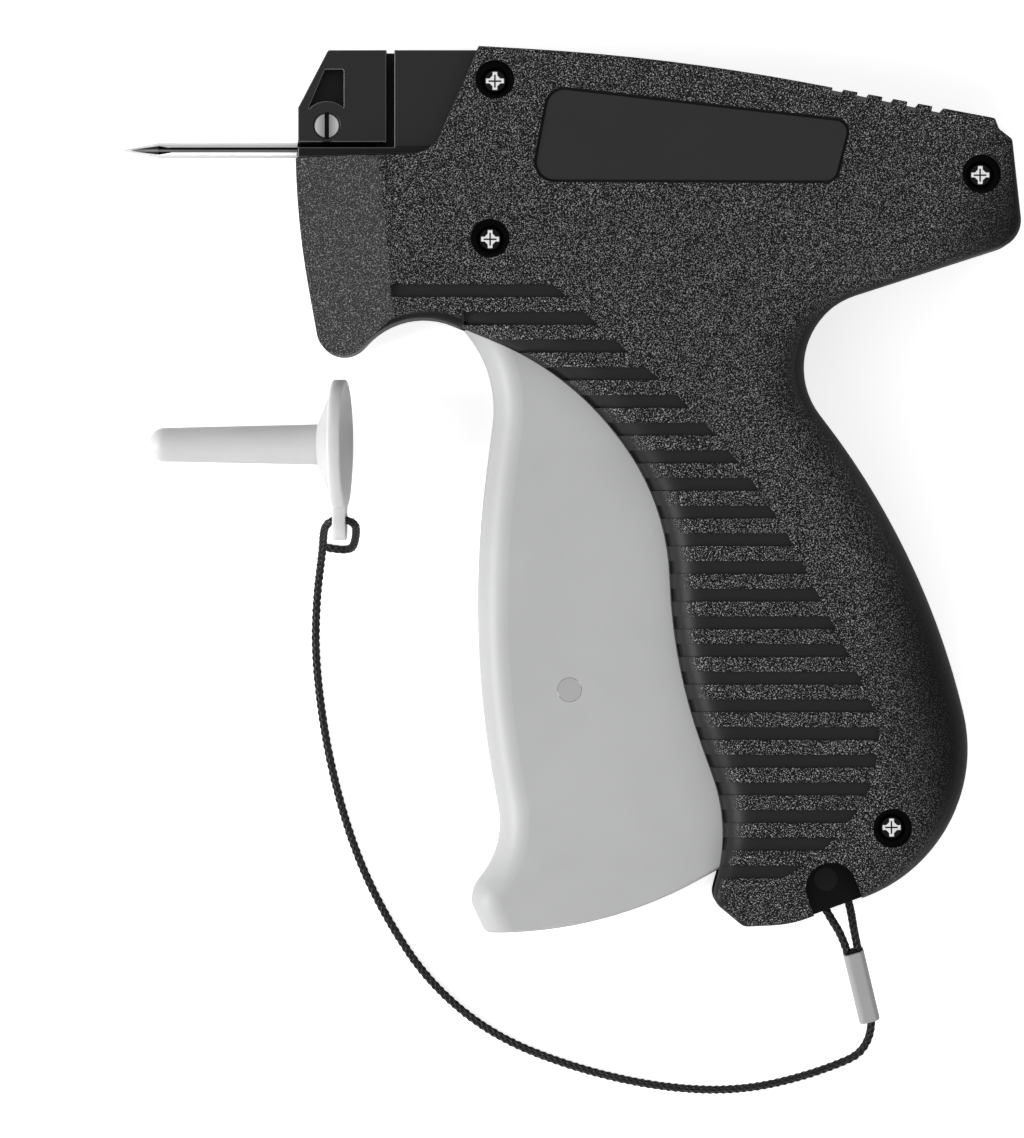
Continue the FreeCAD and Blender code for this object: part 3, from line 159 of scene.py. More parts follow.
# ---------------------------------------------------------------- nodes and meshes
class Board:
    """Node tree of a material or of the sky, with short calls for what they share."""

    def __init__(self, owner):
        owner.use_nodes = True
        self.tree = owner.node_tree

    def node(self, kind, **properties):
        """New node with its properties set."""
        made = self.tree.nodes.new(kind)
        for key, value in properties.items():
            setattr(made, key, value)
        return made

    def link(self, source, target):
        """Joins an output to an input."""
        self.tree.links.new(source, target)

    def parts(self, vector):
        """The three parts of a vector."""
        made = self.node("ShaderNodeSeparateXYZ")
        self.link(vector, made.inputs[0])
        return [made.outputs[name] for name in "XYZ"]

    def math(self, operation, first, second=None):
        """One step of arithmetic on sockets or numbers."""
        made = self.node("ShaderNodeMath", operation=operation)
        for slot, value in ((0, first), (1, second)):
            if isinstance(value, (int, float)):
                made.inputs[slot].default_value = value
            elif value is not None:
                self.link(value, made.inputs[slot])
        return made.outputs[0]

    def span(self, value, low, high, to_low=0.0, to_high=1.0, kind="SMOOTHSTEP"):
        """Maps a value from one range to another and holds it at the ends."""
        made = self.node("ShaderNodeMapRange", interpolation_type=kind)
        self.link(value, made.inputs["Value"])
        for name, number in (("From Min", low), ("From Max", high), ("To Min", to_low), ("To Max", to_high)):
            made.inputs[name].default_value = number
        return made.outputs["Result"]

    def distance(self, first, second, centre):
        """Distance from a centre in the plane of two parts of a place."""
        squares = []
        for value, middle in ((first, centre[0]), (second, centre[1])):
            aside = self.math("SUBTRACT", value, middle)
            squares.append(self.math("MULTIPLY", aside, aside))
        return self.math("SQRT", self.math("ADD", *squares))

    def joined(self, operation, masks):
        """The same arithmetic from each mask to the next."""
        held = masks[0]
        for mask in masks[1:]:
            held = self.math(operation, held, mask)
        return held

    def both(self, *masks):
        """Mask of the places that lie in every one of the masks."""
        return self.joined("MULTIPLY", masks)

    def either(self, *masks):
        """Mask of the places that lie in any of the masks."""
        return self.joined("MAXIMUM", masks)

    def outside(self, mask):
        """Mask of the places that a mask leaves out."""
        return self.math("SUBTRACT", 1.0, mask)

    def below(self, value, limit):
        """Mask of the places where a value is under a limit."""
        return self.math("LESS_THAN", value, limit)

    def above(self, value, limit):
        """Mask of the places where a value is over a limit."""
        return self.math("GREATER_THAN", value, limit)

    def mirrored(self, rays):
        """Mask of the rays that come by way of gloss or glass."""
        return self.either(rays.outputs["Is Glossy Ray"], rays.outputs["Is Transmission Ray"])


class Finish(Board):
    """Board of one material, with calls for its shader and for patterns on the piece."""

    SOCKETS = {
        "base": "Base Color", "roughness": "Roughness", "metallic": "Metallic", "specular": "Specular IOR Level",
        "scatter": "Subsurface Weight", "scatter_scale": "Subsurface Scale", "scatter_radius": "Subsurface Radius",
    }

    def __init__(self, name, **values):
        """New material with values on the shader's own sockets."""
        self.material = bpy.data.materials.new(name)
        super().__init__(self.material)
        self.shader = self.tree.nodes["Principled BSDF"]
        for key, value in values.items():
            self.shader.inputs[self.SOCKETS[key]].default_value = (*value, 1.0) if key == "base" else value

    def place(self):
        """Place on the piece in millimetres of the drawing."""
        scaled_up = self.node("ShaderNodeMapping")
        scaled_up.inputs["Location"].default_value = -SHIFT
        scaled_up.inputs["Scale"].default_value = (1 / MM, 1 / MM, 1 / MM)
        self.link(self.node("ShaderNodeTexCoord").outputs["Object"], scaled_up.inputs["Vector"])
        return scaled_up.outputs["Vector"]

    def facing(self):
        """Direction in which the surface faces."""
        return self.parts(self.node("ShaderNodeTexCoord").outputs["Normal"])

    def noise(self, place, size, detail=2.0, roughness=0.55, distortion=0.0):
        """Noise whose features have that size in millimetres."""
        made = self.node("ShaderNodeTexNoise")
        made.inputs["Scale"].default_value = 1.0 / size
        made.inputs["Detail"].default_value = detail
        made.inputs["Roughness"].default_value = roughness
        made.inputs["Distortion"].default_value = distortion
        self.link(place, made.inputs["Vector"])
        return made.outputs["Fac"]

    def mix(self, share_of_second, first, second):
        """Mix of two colours, each a socket or a triple."""
        made = self.node("ShaderNodeMix", data_type="RGBA")
        self.link(share_of_second, made.inputs[0])
        for slot, value in ((6, first), (7, second)):
            if isinstance(value, tuple):
                made.inputs[slot].default_value = (*value, 1.0)
            else:
                self.link(value, made.inputs[slot])
        return made.outputs[2]

    def paint(self, socket):
        """Joins a colour to the shader."""
        self.link(socket, self.shader.inputs["Base Color"])

    def clouded(self, place, size, base, darkest, detail=2.0):
        """Paints a colour that is a little darker in soft clouds of that size."""
        cloud = self.span(self.noise(place, size, detail), *CLOUD)
        self.paint(self.mix(cloud, scaled(base, darkest), base))

    def bump(self, height, distance):
        """Relief of the surface, whose full height is given in metres."""
        made = self.node("ShaderNodeBump")
        made.inputs["Distance"].default_value = distance
        self.link(height, made.inputs["Height"])
        self.link(made.outputs["Normal"], self.shader.inputs["Normal"])


def scaled(base, factor):
    """Colour made lighter or darker."""
    return tuple(factor * part for part in base)


def triple(value):
    """Colour setting as three numbers."""
    return tuple(value[:3])


def cover(material, *nodes):
    """Gives a finish to the construction's own nodes."""
    for name in nodes:
        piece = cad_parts[name]
        if not piece.material_slots:
            piece.data.materials.append(material)
        for place in piece.material_slots:
            place.material = material


def mesh_piece(name, verts, faces, material, smooth=True):
    """New object from points and faces."""
    mesh = bpy.data.meshes.new(name)
    mesh.from_pydata([tuple(v) for v in verts], [], faces)
    mesh.materials.append(material)
    if smooth:
        mesh.polygons.foreach_set("use_smooth", [True] * len(mesh.polygons))
    piece = bpy.data.objects.new(name, mesh)
    bpy.context.scene.collection.objects.link(piece)
    return piece


def carried_frames(points):
    """Two directions across a path at each of its points, carried along it without twist."""
    tangents = []
    for i in range(len(points)):
        ahead = points[min(i + 1, len(points) - 1)] - points[max(i - 1, 0)]
        tangents.append(ahead.normalized())
    across = tangents[0].orthogonal().normalized()
    frames = []
    for tangent in tangents:
        across = (across - tangent * across.dot(tangent)).normalized()
        frames.append((across, tangent.cross(across)))
    return frames


def swept(points, radius, sides, verts, faces):
    """Adds a closed round tube along a path to lists of points and faces."""
    first = len(verts)
    for point, (across, up) in zip(points, carried_frames(points)):
        for k in range(sides):
            turn = 2 * math.pi * k / sides
            verts.append(point + (across * math.cos(turn) + up * math.sin(turn)) * radius)
    for i in range(len(points) - 1):
        row = first + i * sides
        for k in range(sides):
            after = (k + 1) % sides
            faces.append((row + k, row + after, row + sides + after, row + sides + k))
    last = first + (len(points) - 1) * sides
    faces.append(tuple(range(first + sides - 1, first - 1, -1)))
    faces.append(tuple(range(last, last + sides)))


# ---------------------------------------------------------------- the lanyard
LANYARD_POST = Vector((42.7, -65.1, 0))
LANYARD_AXIS = Vector((0.351, -0.936, 0))     # direction in which the two strands leave the post
LANYARD_ACROSS = Vector((-LANYARD_AXIS.y, LANYARD_AXIS.x, 0))
SLEEVE_UPPER = Vector((47.45, -77.35, TABLE + 10.0))
SLEEVE_LOWER = Vector((50.35, -88.95, TABLE + 3.5))
STRAND_OFFSET = 0.8                    # from the sleeve's axis to the middle of a strand
STRAND_LEAD = 2.1                      # length over which the strands run straight into the sleeve
CAP_HOLE = Vector((-38.6, -5.0, -2.05))
ROUTE_ORDER = 3                        # order of the curve through the route's points
ROUTE_STEPS = 24                       # points to a part of that curve
CORD_STEP = 0.00024                    # between two rings of the cord, in metres
STRANDS = 4                            # that wind each way
STRAND_SIDES = 6
CORE_SIDES = 12
NEXT_TO_NOTHING = 1e-12


def post_frame(out, side, height=0.0):
    """Point beside the lanyard post: along the strands, across them and above the parting plane."""
    return LANYARD_POST + LANYARD_AXIS * out + LANYARD_ACROSS * side + Vector((0, 0, height))


def cord_route():
    """Points of the lanyard in millimetres of the drawing, as the construction has them."""
    along = (SLEEVE_LOWER - SLEEVE_UPPER).normalized()
    across = (LANYARD_ACROSS - along * LANYARD_ACROSS.dot(along)).normalized()
    strand = across * STRAND_OFFSET
    return [
        SLEEVE_UPPER + along * 6.0 - strand,
        SLEEVE_UPPER - along * STRAND_LEAD - strand,
        post_frame(5.4, -1.7, -0.4),
        post_frame(-1.4, -2.45),
        post_frame(-2.83, 0.0),
        post_frame(-1.4, 2.45),
        post_frame(5.4, 2.4, -0.4),
        SLEEVE_UPPER - along * STRAND_LEAD + strand,
        SLEEVE_LOWER + along * 5.6 + strand,
        Vector((41.2, -98.3, LYING)),
        Vector((28.6, -101.2, LYING)),
        Vector((15.1, -100.6, LYING)),
        Vector((0.7, -97.3, LYING)),
        Vector((-12.9, -91.9, LYING)),
        Vector((-23.6, -83.1, LYING)),
        Vector((-31.0, -72.0, LYING)),
        Vector((-36.6, -60.0, LYING)),
        Vector((-40.8, -44.6, LYING)),
        Vector((-42.9, -29.0, LYING)),
        Vector((-42.7, -18.5, LYING + 0.6)),
        CAP_HOLE + Vector((-3.0, -5.0, -6.5)),
        CAP_HOLE + Vector((-2.6, 0.0, 0.0)),
        CAP_HOLE + Vector((2.6, 0.0, 0.0)),
        Vector((-35.9, -8.0, -8.0)),
        Vector((-37.0, -10.6, LYING)),
        Vector((-41.9, -9.4, LYING)),
    ]


def route_curve(name, points):
    """Smooth line whose control points are the route's."""
    curve = bpy.data.curves.new(name, "CURVE")
    curve.dimensions = "3D"
    curve.resolution_u = ROUTE_STEPS
    spline = curve.splines.new("NURBS")
    spline.points.add(len(points) - 1)
    for control, point in zip(spline.points, points):
        control.co = (*in_model(point), 1.0)
    spline.order_u = ROUTE_ORDER
    spline.use_endpoint_u = True
    return bpy.data.objects.new(name, curve)


def along_curve(holder):
    """Points along a curve that has no thickness."""
    bpy.context.scene.collection.objects.link(holder)
    bpy.context.view_layer.update()
    mesh = bpy.data.meshes.new_from_object(holder.evaluated_get(bpy.context.evaluated_depsgraph_get()))
    points = [v.co.copy() for v in mesh.vertices]
    bpy.data.meshes.remove(mesh)
    bpy.data.objects.remove(holder)
    return points


def even_steps(points, step):
    """The same path with its points evenly spaced."""
    total = sum((b - a).length for a, b in zip(points, points[1:]))
    count = max(2, round(total / step))
    gap = total / count
    made = [points[0]]
    want = gap
    gone = 0.0
    for a, b in zip(points, points[1:]):
        reach = (b - a).length
        while reach > 0 and gone + reach >= want - NEXT_TO_NOTHING and len(made) < count:
            made.append(a.lerp(b, (want - gone) / reach))
            want += gap
        gone += reach
    made.append(points[-1])
    return made, total


def braid(path, settings):
    """Points and faces of a braid: strands each way round a core, over and under in turn."""
    middle = settings.radius - settings.strand - settings.weave
    frames = carried_frames(path)
    gone = [0.0]
    for a, b in zip(path, path[1:]):
        gone.append(gone[-1] + (b - a).length)
    verts, faces = [], []
    for way in (1, -1):
        for j in range(STRANDS):
            strand = []
            for point, (across, up), distance in zip(path, frames, gone):
                wind = 2 * math.pi * distance / settings.lay
                turn = way * wind + 2 * math.pi * j / STRANDS
                out = middle + way * settings.weave * math.cos(STRANDS * wind)
                strand.append(point + (across * math.cos(turn) + up * math.sin(turn)) * out)
            swept(strand, settings.strand, STRAND_SIDES, verts, faces)
    swept(path, middle, CORE_SIDES, verts, faces)
    return verts, faces


# ---------------------------------------------------------------- the return spring
SPRING_PIN = Vector((-0.15, -33.4, 0.0))      # pin on the trigger that pushes the spring's cup
SPRING_SEAT = Vector((56.0, -27.4, 0.0))      # plug in the handle that holds the rear end
SPRING_R = 3.4                         # radius of the wire's centre line
SPRING_WIRE_R = 0.55
SPRING_COILS = 8
COIL_STEPS = 40                        # points to a turn
WIRE_SIDES = 12
CUP_LENGTH = 6.0


def coil():
    """Points and faces of the return spring between its cup and its seat."""
    axis = (SPRING_SEAT - SPRING_PIN).normalized()
    up = Vector((0.0, 0.0, 1.0))
    side = up.cross(axis)
    start = CUP_LENGTH + SPRING_WIRE_R
    reach = (SPRING_SEAT - SPRING_PIN).length - start - SPRING_WIRE_R
    steps = SPRING_COILS * COIL_STEPS
    wire = []
    for i in range(steps + 1):
        turn = 2 * math.pi * i / COIL_STEPS
        along = start + reach * i / steps
        wire.append(in_model(SPRING_PIN + axis * along + (side * math.cos(turn) + up * math.sin(turn)) * SPRING_R))
    verts, faces = [], []
    swept(wire, SPRING_WIRE_R * MM, WIRE_SIDES, verts, faces)
    return verts, faces


# ---------------------------------------------------------------- finishes
# Where a constant holds the two ends of a fade, its mask is nought at the first and one at the second.
CREASE_TOP = (-32.0, 55.8)             # upper end of the crease between nose and body
CREASE_LEAN = 0.099                    # run of the crease to the right for each millimetre down
CREASE_HALF = 0.05
SKIN_DEPTH = 12.7                      # anything flat and nearer the parting plane is a recess
SKIN_FADE = 0.15
DEEP_DEPTH = 9.5                       # recesses get black painted shade below this height
DEEP_FADE = 0.5
FLAT = (0.975, 0.99)                   # how level a surface has to be to count as flat
LEAN = -0.08                           # a surface leans forward or down when it faces that way by more than this
GROOVE_PITCH = 4.604
GROOVE_HEIGHT = 2.17
GROOVE_TOP = 34.13
GROOVE_LEFT = -18.0
ARCH_RIGHT = 8.0                       # end of the arch over the trigger
BACK_CENTRE = (191.8, -14.5)           # centre of the handle's hollow back
BACK_R = 128.0
BACK_FADE = (4.0, 18.0)                # distance from the back over which the painted highlight on the grain's ridges comes up out of painted shade
BACK_RIDGE_HIGHLIGHT_SHARE = 0.12                      # share of that painted highlight left at the back itself
BACK_PAINTED_SHADE = (12.0, 4.0)                 # distance from the back over which smooth plastic gets painted shade
NOSE_PAINTED_SHADE = (-0.25, -0.55)              # facing down of the nose's underside, which gets painted shade too
PAINTED_SHADE_SHARE = 0.3                              # share of the smooth colour that is left under that painted shade
LEVEL_FADE = (0.25, 0.6)               # the grain needs a surface that is level
FRONT_FADE = (-0.7, -0.35)             # and that doesn't face far forward
REAR_FADE = (0.85, 0.35)               # or far back
RIDGE = (0.53, 0.72)                   # value of the noise from which a ridge rises
RIDGE_TWIST = 0.6                      # how far the wrinkles are pulled out of shape
SMOOTH_ROUGHNESS = 0.42
GRAIN_ROUGHNESS = 0.5
HOUSING_SPECULAR = 0.12

# Clouds, grain, lines and fibres are sizes of patterns in millimetres, and reliefs are heights in metres.
CLOUD = (0.3, 0.7)                     # value of the noise over which a clouded colour changes
SATIN_CLOUDS = 14.4
SATIN_DARKEST = 0.95                   # share of the colour in its darkest clouds
SATIN_GRAIN = 1.2
SATIN_RELIEF = 0.000012
SATIN_SPECULAR = 0.2
PANEL_ROUGHNESS = 0.45
INNER_ROUGHNESS = 0.45
SLEEVE_ROUGHNESS = 0.35
DARK_ROUGHNESS = 0.4                   # of the hub, the lanyard post and the pin in the trigger
HUB_BLACK = (0.003, 0.003, 0.003)
POST_BLACK = (0.003, 0.003, 0.0032)
PIN_GREY = (0.42, 0.42, 0.425)
RECESS_PAINTED_SHADE = (0.002, 0.002, 0.002)   # black painted shade at the bottom of the housing's recesses
SLOT_PAINTED_SHADE = (0.0005, 0.0005, 0.0005)  # black painted shade in the slots of the head and of the lock
HELD_PAINTED_SHADE = (0.004, 0.004, 0.004)     # black painted shade on the needle inside its hub

HEAD_DEPTH = 10.2
HEAD_FLOOR = (-0.4, -0.6)              # height from the head's face at which slots and pockets get black painted shade
HEAD_FLOOR_LEVEL = (0.5, 0.7)          # how level such a floor is
HEAD_RIM = (-0.25, -0.15)              # height from the head's face at which an edge gets a painted highlight along its rim
HEAD_RIM_LEVEL = (0.97, 0.9)           # how level such a rim is
HEAD_RIM_HIGHLIGHT = 9.0                   # brightness of that painted highlight beside the face's
LEDGE_Y = 57.25                        # the head gets painted shade below this line
LEDGE_HALF = 0.05
LEDGE_PAINTED_SHADE = 0.05                     # share of the colour that is left under that painted shade
LOCK = (-40.6, 60.6)
LOCK_HEAD_R = 2.15
LOCK_RING = 0.6                        # the head has no painted highlight on its rims this near to the lock
LOCK_TOP_Z = 10.1
LOCK_SLOT = (-0.3, -0.36)              # height from the lock's face at which its slot gets black painted shade
LOCK_FLAT = 0.2                        # half width of the darkest painted shade across the middle of its face
LOCK_PAINTED_SHADES = (0.6, 1.25)              # painted shade of its face at the middle and painted highlight at the edge

NEEDLE_Y = 56.8
NEEDLE_R = 1.25
NEEDLE_TIP_X = -75.1
NEEDLE_BEVEL_X = -69.1
NEEDLE_ROOT_X = -45.6
NEEDLE_HELD = (-0.1, 0.0)              # from the root, where the hub holds it and painted shade begins
NEEDLE_SKIN = (0.03, 0.1)              # depth at which the outer surface ends and the bore begins
NEEDLE_GLINT = (0.26, 0.1)             # half width of the painted highlight line along the bore
NEEDLE_GLINT_SHARE = 0.7
NEEDLE_SIDES = (0.88, 0.98)            # facing up or down of the two sides, which get painted shade
NEEDLE_PAINTED_SHADE = 0.5                     # share of the steel's colour in that painted shade and in the painted highlight line

SCREWS = [(-12.6, 68.2), (-13.4, 41.8), (68.4, 52.5), (53.6, -56.4)]
SCREW_TOP_Z = 6.6
CROSS_FLOOR = (-0.06, -0.12)           # height from a screw's face at which the cross recess gets a painted highlight
CROSS_HIGHLIGHT_REACH = (1.35, 1.25)             # reach of the painted highlight in the middle, added up along both arms
CROSS_LINE = (0.17, 0.1)               # half width of the line along each arm that the painted highlight leaves black
CROSS_LINE_END = (1.15, 1.0)           # reach of that line

STEEL_LINES = 0.4
STEEL_CLOUDS = 2.4
STEEL_DARKEST = 0.88
STEEL_RELIEF = 0.000003
SCREW_LINES = 0.35
SCREW_RELIEF = 0.000004
LOCK_RELIEF = 0.000006
CAP_CLOUDS = 12.0
CAP_DARKEST = 0.96
CAP_GRAIN = 0.9
CAP_RELIEF = 0.00001
FIBRE = 0.16
FIBRE_FADE = (0.5, 0.72)
FIBRE_SHADES = (0.3, 9.0)              # shade of the yarn in its dark and in its light fibres, which vary in tone and also stand in as painted highlight flecks
FIBRE_RELIEF = 0.00003


def fade_from(level, fade):
    """Ends of a fade that is given from some level."""
    return level + fade[0], level + fade[1]


def housing_finish(settings):
    """Grained plastic on the skin, smooth on rolled edges, in grooves and in recesses. The grain's ridges carry a
    painted highlight and its valleys painted shade; deep recesses, the handle's back and the nose's underside get
    painted shade.
    """
    board = Finish("housing_grained_plastic", specular=HOUSING_SPECULAR)
    place = board.place()
    x, y, z = board.parts(place)
    facing_x, facing_y, facing_z = board.facing()
    level = board.math("ABSOLUTE", facing_z)
    depth = board.math("ABSOLUTE", z)
    inward = board.math("SUBTRACT", board.distance(x, y, BACK_CENTRE), BACK_R)

    run = board.math("MULTIPLY", board.math("SUBTRACT", CREASE_TOP[1], y), -CREASE_LEAN)
    nose = board.span(board.math("ADD", x, run), CREASE_TOP[0] + CREASE_HALF, CREASE_TOP[0] - CREASE_HALF)
    sunk = board.both(board.span(depth, SKIN_DEPTH, SKIN_DEPTH - SKIN_FADE), board.span(level, *FLAT),
                      board.outside(nose))
    row = board.math("FRACT", board.math("DIVIDE", board.math("SUBTRACT", GROOVE_TOP, y), GROOVE_PITCH))
    leaning = board.either(board.both(board.below(facing_y, LEAN), board.below(x, ARCH_RIGHT)),
                           board.below(facing_x, LEAN))
    groove = board.both(board.below(row, GROOVE_HEIGHT / GROOVE_PITCH), leaning, board.above(x, GROOVE_LEFT),
                        board.below(y, GROOVE_TOP - GROOVE_PITCH))
    under = board.both(board.span(facing_y, *NOSE_PAINTED_SHADE), board.below(x, GROOVE_LEFT))
    grained = board.both(board.span(level, *LEVEL_FADE), board.outside(board.either(sunk, groove)),
                         board.span(facing_x, *FRONT_FADE), board.span(facing_x, *REAR_FADE), board.outside(under))

    cloud = board.noise(place, settings.grain, detail=0.0, roughness=0.5, distortion=RIDGE_TWIST)
    # Mask of the grain's ridges, which carry a painted highlight that fades into painted shade near the handle's back.
    ridge = board.both(board.span(cloud, *RIDGE), board.span(inward, *BACK_FADE, BACK_RIDGE_HIGHLIGHT_SHARE, 1.0))
    # Painted shade in the grain's valleys and painted highlight on its ridges, finer on the nose.
    low = board.mix(nose, triple(settings.dark), triple(settings.nose_valley_shade))
    high = board.mix(nose, triple(settings.light), triple(settings.nose_ridge_highlight))
    plain = triple(settings.smooth)
    # Painted shade on smooth plastic near the handle's back and under the nose.
    smooth = board.mix(board.either(board.span(inward, *BACK_PAINTED_SHADE), under), plain, scaled(plain, PAINTED_SHADE_SHARE))
    # Black painted shade deep in the recesses.
    smooth = board.mix(board.span(depth, DEEP_DEPTH + DEEP_FADE, DEEP_DEPTH), smooth, RECESS_PAINTED_SHADE)
    board.paint(board.mix(grained, smooth, board.mix(ridge, low, high)))
    rough = board.span(grained, 0.0, 1.0, SMOOTH_ROUGHNESS, GRAIN_ROUGHNESS)
    board.link(rough, board.shader.inputs["Roughness"])
    board.bump(board.both(ridge, grained), settings.grain_height)
    return board.material


def satin_finish(name, base, roughness):
    """Moulded plastic with a faint unevenness."""
    board = Finish(name, roughness=roughness, specular=SATIN_SPECULAR)
    place = board.place()
    board.clouded(place, SATIN_CLOUDS, base, SATIN_DARKEST)
    board.bump(board.noise(place, SATIN_GRAIN), SATIN_RELIEF)
    return board.material


def head_finish(settings):
    """Satin plastic with a painted highlight on its rims, and painted shade at the bottom of its slots and pockets and
    below its ledge.
    """
    board = Finish("head_satin_plastic", roughness=0.36, specular=SATIN_SPECULAR)
    place = board.place()
    x, y, z = board.parts(place)
    depth = board.math("ABSOLUTE", z)
    level = board.math("ABSOLUTE", board.facing()[2])
    floor = board.both(board.span(depth, *fade_from(HEAD_DEPTH, HEAD_FLOOR)), board.span(level, *HEAD_FLOOR_LEVEL))
    # Painted highlight along the head's rims.
    rim = board.both(board.span(depth, *fade_from(HEAD_DEPTH, HEAD_RIM)), board.span(level, *HEAD_RIM_LEVEL),
                     board.above(board.distance(x, y, LOCK), LOCK_HEAD_R + LOCK_RING))
    base = triple(settings.head)
    # Painted shade below the ledge.
    face = board.mix(board.span(y, LEDGE_Y + LEDGE_HALF, LEDGE_Y - LEDGE_HALF), base, scaled(base, LEDGE_PAINTED_SHADE))
    # Black painted shade at the bottom of slots and pockets.
    face = board.mix(floor, face, SLOT_PAINTED_SHADE)
    board.paint(board.mix(rim, face, scaled(base, HEAD_RIM_HIGHLIGHT)))
    board.bump(board.noise(place, SATIN_GRAIN), SATIN_RELIEF)
    return board.material


def needle_finish(settings):
    """Polished steel tube with painted shade inside its slot and mouth, a painted highlight line along the bore, and
    painted shade along its two sides and where the hub holds it.
    """
    board = Finish("needle_steel", metallic=0.7, roughness=0.3)
    place = board.place()
    x, y, z = board.parts(place)
    aside = board.math("ABSOLUTE", board.math("SUBTRACT", y, NEEDLE_Y))
    bevel = board.math("MULTIPLY", board.math("SUBTRACT", x, NEEDLE_TIP_X), NEEDLE_R / (NEEDLE_BEVEL_X - NEEDLE_TIP_X))
    radius = board.math("MINIMUM", bevel, NEEDLE_R)
    depth = board.math("SUBTRACT", radius, board.distance(y, z, (NEEDLE_Y, 0.0)))
    # Black painted shade on the needle where the hub holds it.
    held = board.span(x, *fade_from(NEEDLE_ROOT_X, NEEDLE_HELD))
    glint = board.math("MULTIPLY", board.span(aside, *NEEDLE_GLINT), NEEDLE_GLINT_SHARE)
    # Painted shade along the needle's two sides.
    sides = board.span(board.math("ABSOLUTE", board.facing()[1]), *NEEDLE_SIDES)
    bright = triple(settings.steel)
    shaded = scaled(bright, NEEDLE_PAINTED_SHADE)
    outer = board.mix(sides, bright, shaded)
    # Painted shade in the bore, with a painted highlight line along it.
    inner = board.mix(glint, triple(settings.bore), shaded)
    board.paint(board.mix(held, board.mix(board.span(depth, *NEEDLE_SKIN), outer, inner), HELD_PAINTED_SHADE))
    board.bump(board.noise(place, STEEL_LINES), STEEL_RELIEF)
    return board.material


def steel_finish(settings):
    """Bright steel with fine turning lines."""
    board = Finish("bright_steel", metallic=1.0, roughness=settings.roughness)
    place = board.place()
    board.clouded(place, STEEL_CLOUDS, triple(settings.steel), STEEL_DARKEST, detail=3.0)
    board.bump(board.noise(place, STEEL_LINES), STEEL_RELIEF)
    return board.material


def screw_finish(settings):
    """Blackened screw heads with a painted highlight in their cross recess, left black along its middle."""
    board = Finish("screw_metal", metallic=1.0, roughness=0.18)
    place = board.place()
    x, y, z = board.parts(place)
    # Painted highlight on the walls of the cross recess, in the bright steel colour.
    bright = board.span(z, *fade_from(SCREW_TOP_Z, CROSS_FLOOR))
    lines = []
    for centre_x, centre_y in SCREWS:
        aside = board.math("ABSOLUTE", board.math("SUBTRACT", x, centre_x))
        along = board.math("ABSOLUTE", board.math("SUBTRACT", y, centre_y))
        bright = board.either(bright, board.span(board.math("ADD", aside, along), *CROSS_HIGHLIGHT_REACH))
        for across, down in ((aside, along), (along, aside)):
            lines.append(board.both(board.span(across, *CROSS_LINE), board.span(down, *CROSS_LINE_END)))
    bright = board.both(bright, board.outside(board.either(*lines)))
    board.paint(board.mix(bright, triple(settings.black), triple(settings.steel)))
    board.bump(board.noise(place, SCREW_LINES), SCREW_RELIEF)
    return board.material


def lock_finish(settings):
    """Turned steel screw with painted shade across the middle of its face, a painted highlight at its edges and black
    painted shade in its slot.
    """
    board = Finish("lock_metal", metallic=0.8, roughness=0.34)
    place = board.place()
    x, _, z = board.parts(place)
    base = triple(settings.lock)
    # Painted shade across the middle of the lock's face, painted highlight towards its edges.
    edge = board.span(board.math("ABSOLUTE", board.math("SUBTRACT", x, LOCK[0])), LOCK_FLAT, LOCK_HEAD_R)
    face = board.mix(edge, *(scaled(base, shade) for shade in LOCK_PAINTED_SHADES))
    # Black painted shade in the lock's slot.
    slot = board.span(z, *fade_from(LOCK_TOP_Z, LOCK_SLOT))
    board.paint(board.mix(slot, face, SLOT_PAINTED_SHADE))
    board.bump(board.noise(place, SCREW_LINES), LOCK_RELIEF)
    return board.material


def cap_finish(settings):
    """Soft milky plastic."""
    board = Finish("milky_plastic", roughness=0.42, specular=0.3, scatter=0.9, scatter_scale=0.004,
                   scatter_radius=(1.0, 1.0, 1.0))
    place = board.place()
    board.clouded(place, CAP_CLOUDS, triple(settings.cap), CAP_DARKEST)
    board.bump(board.noise(place, CAP_GRAIN), CAP_RELIEF)
    return board.material


def cord_finish(settings):
    """Black braided yarn whose fibres vary in tone, the light ones also standing in as painted highlight flecks."""
    board = Finish("braided_yarn", roughness=0.3, specular=0.3)
    fibre = board.noise(board.place(), FIBRE, detail=3.0, roughness=0.6)
    # Dark fibres and light fibres, the light ones partly painted highlight flecks.
    dark, light = (scaled(triple(settings.colour), shade) for shade in FIBRE_SHADES)
    board.paint(board.mix(board.span(fibre, *FIBRE_FADE), dark, light))
    board.bump(fibre, FIBRE_RELIEF)
    return board.material


# ---------------------------------------------------------------- the stage, in metres
CAMERA_SENSOR = 36.0                   # height of the camera's sensor, in millimetres
CAMERA_CLIP = (0.01, 10.0)
TABLE_REACH = 1.5                      # from the middle of the table to an edge
TABLE_MIRRORED = 0.1                   # brightness of the table in gloss and glass
SKY_BRIGHTENS = (0.15, 0.95)           # heights in the sky between which it grows brighter
LAMP_AIM = Vector((0, 0, 0.01))
LAMPS = [                              # name, place, width and the setting of its power
    ("lamp_left", (-0.75, -0.1, 0.42), 0.4, "key_power"),
    ("lamp_right", (0.5, 0.35, 0.6), 0.5, "fill_power"),
    ("lamp_foot", (0.1, -0.75, 0.4), 0.4, "foot_power"),
]


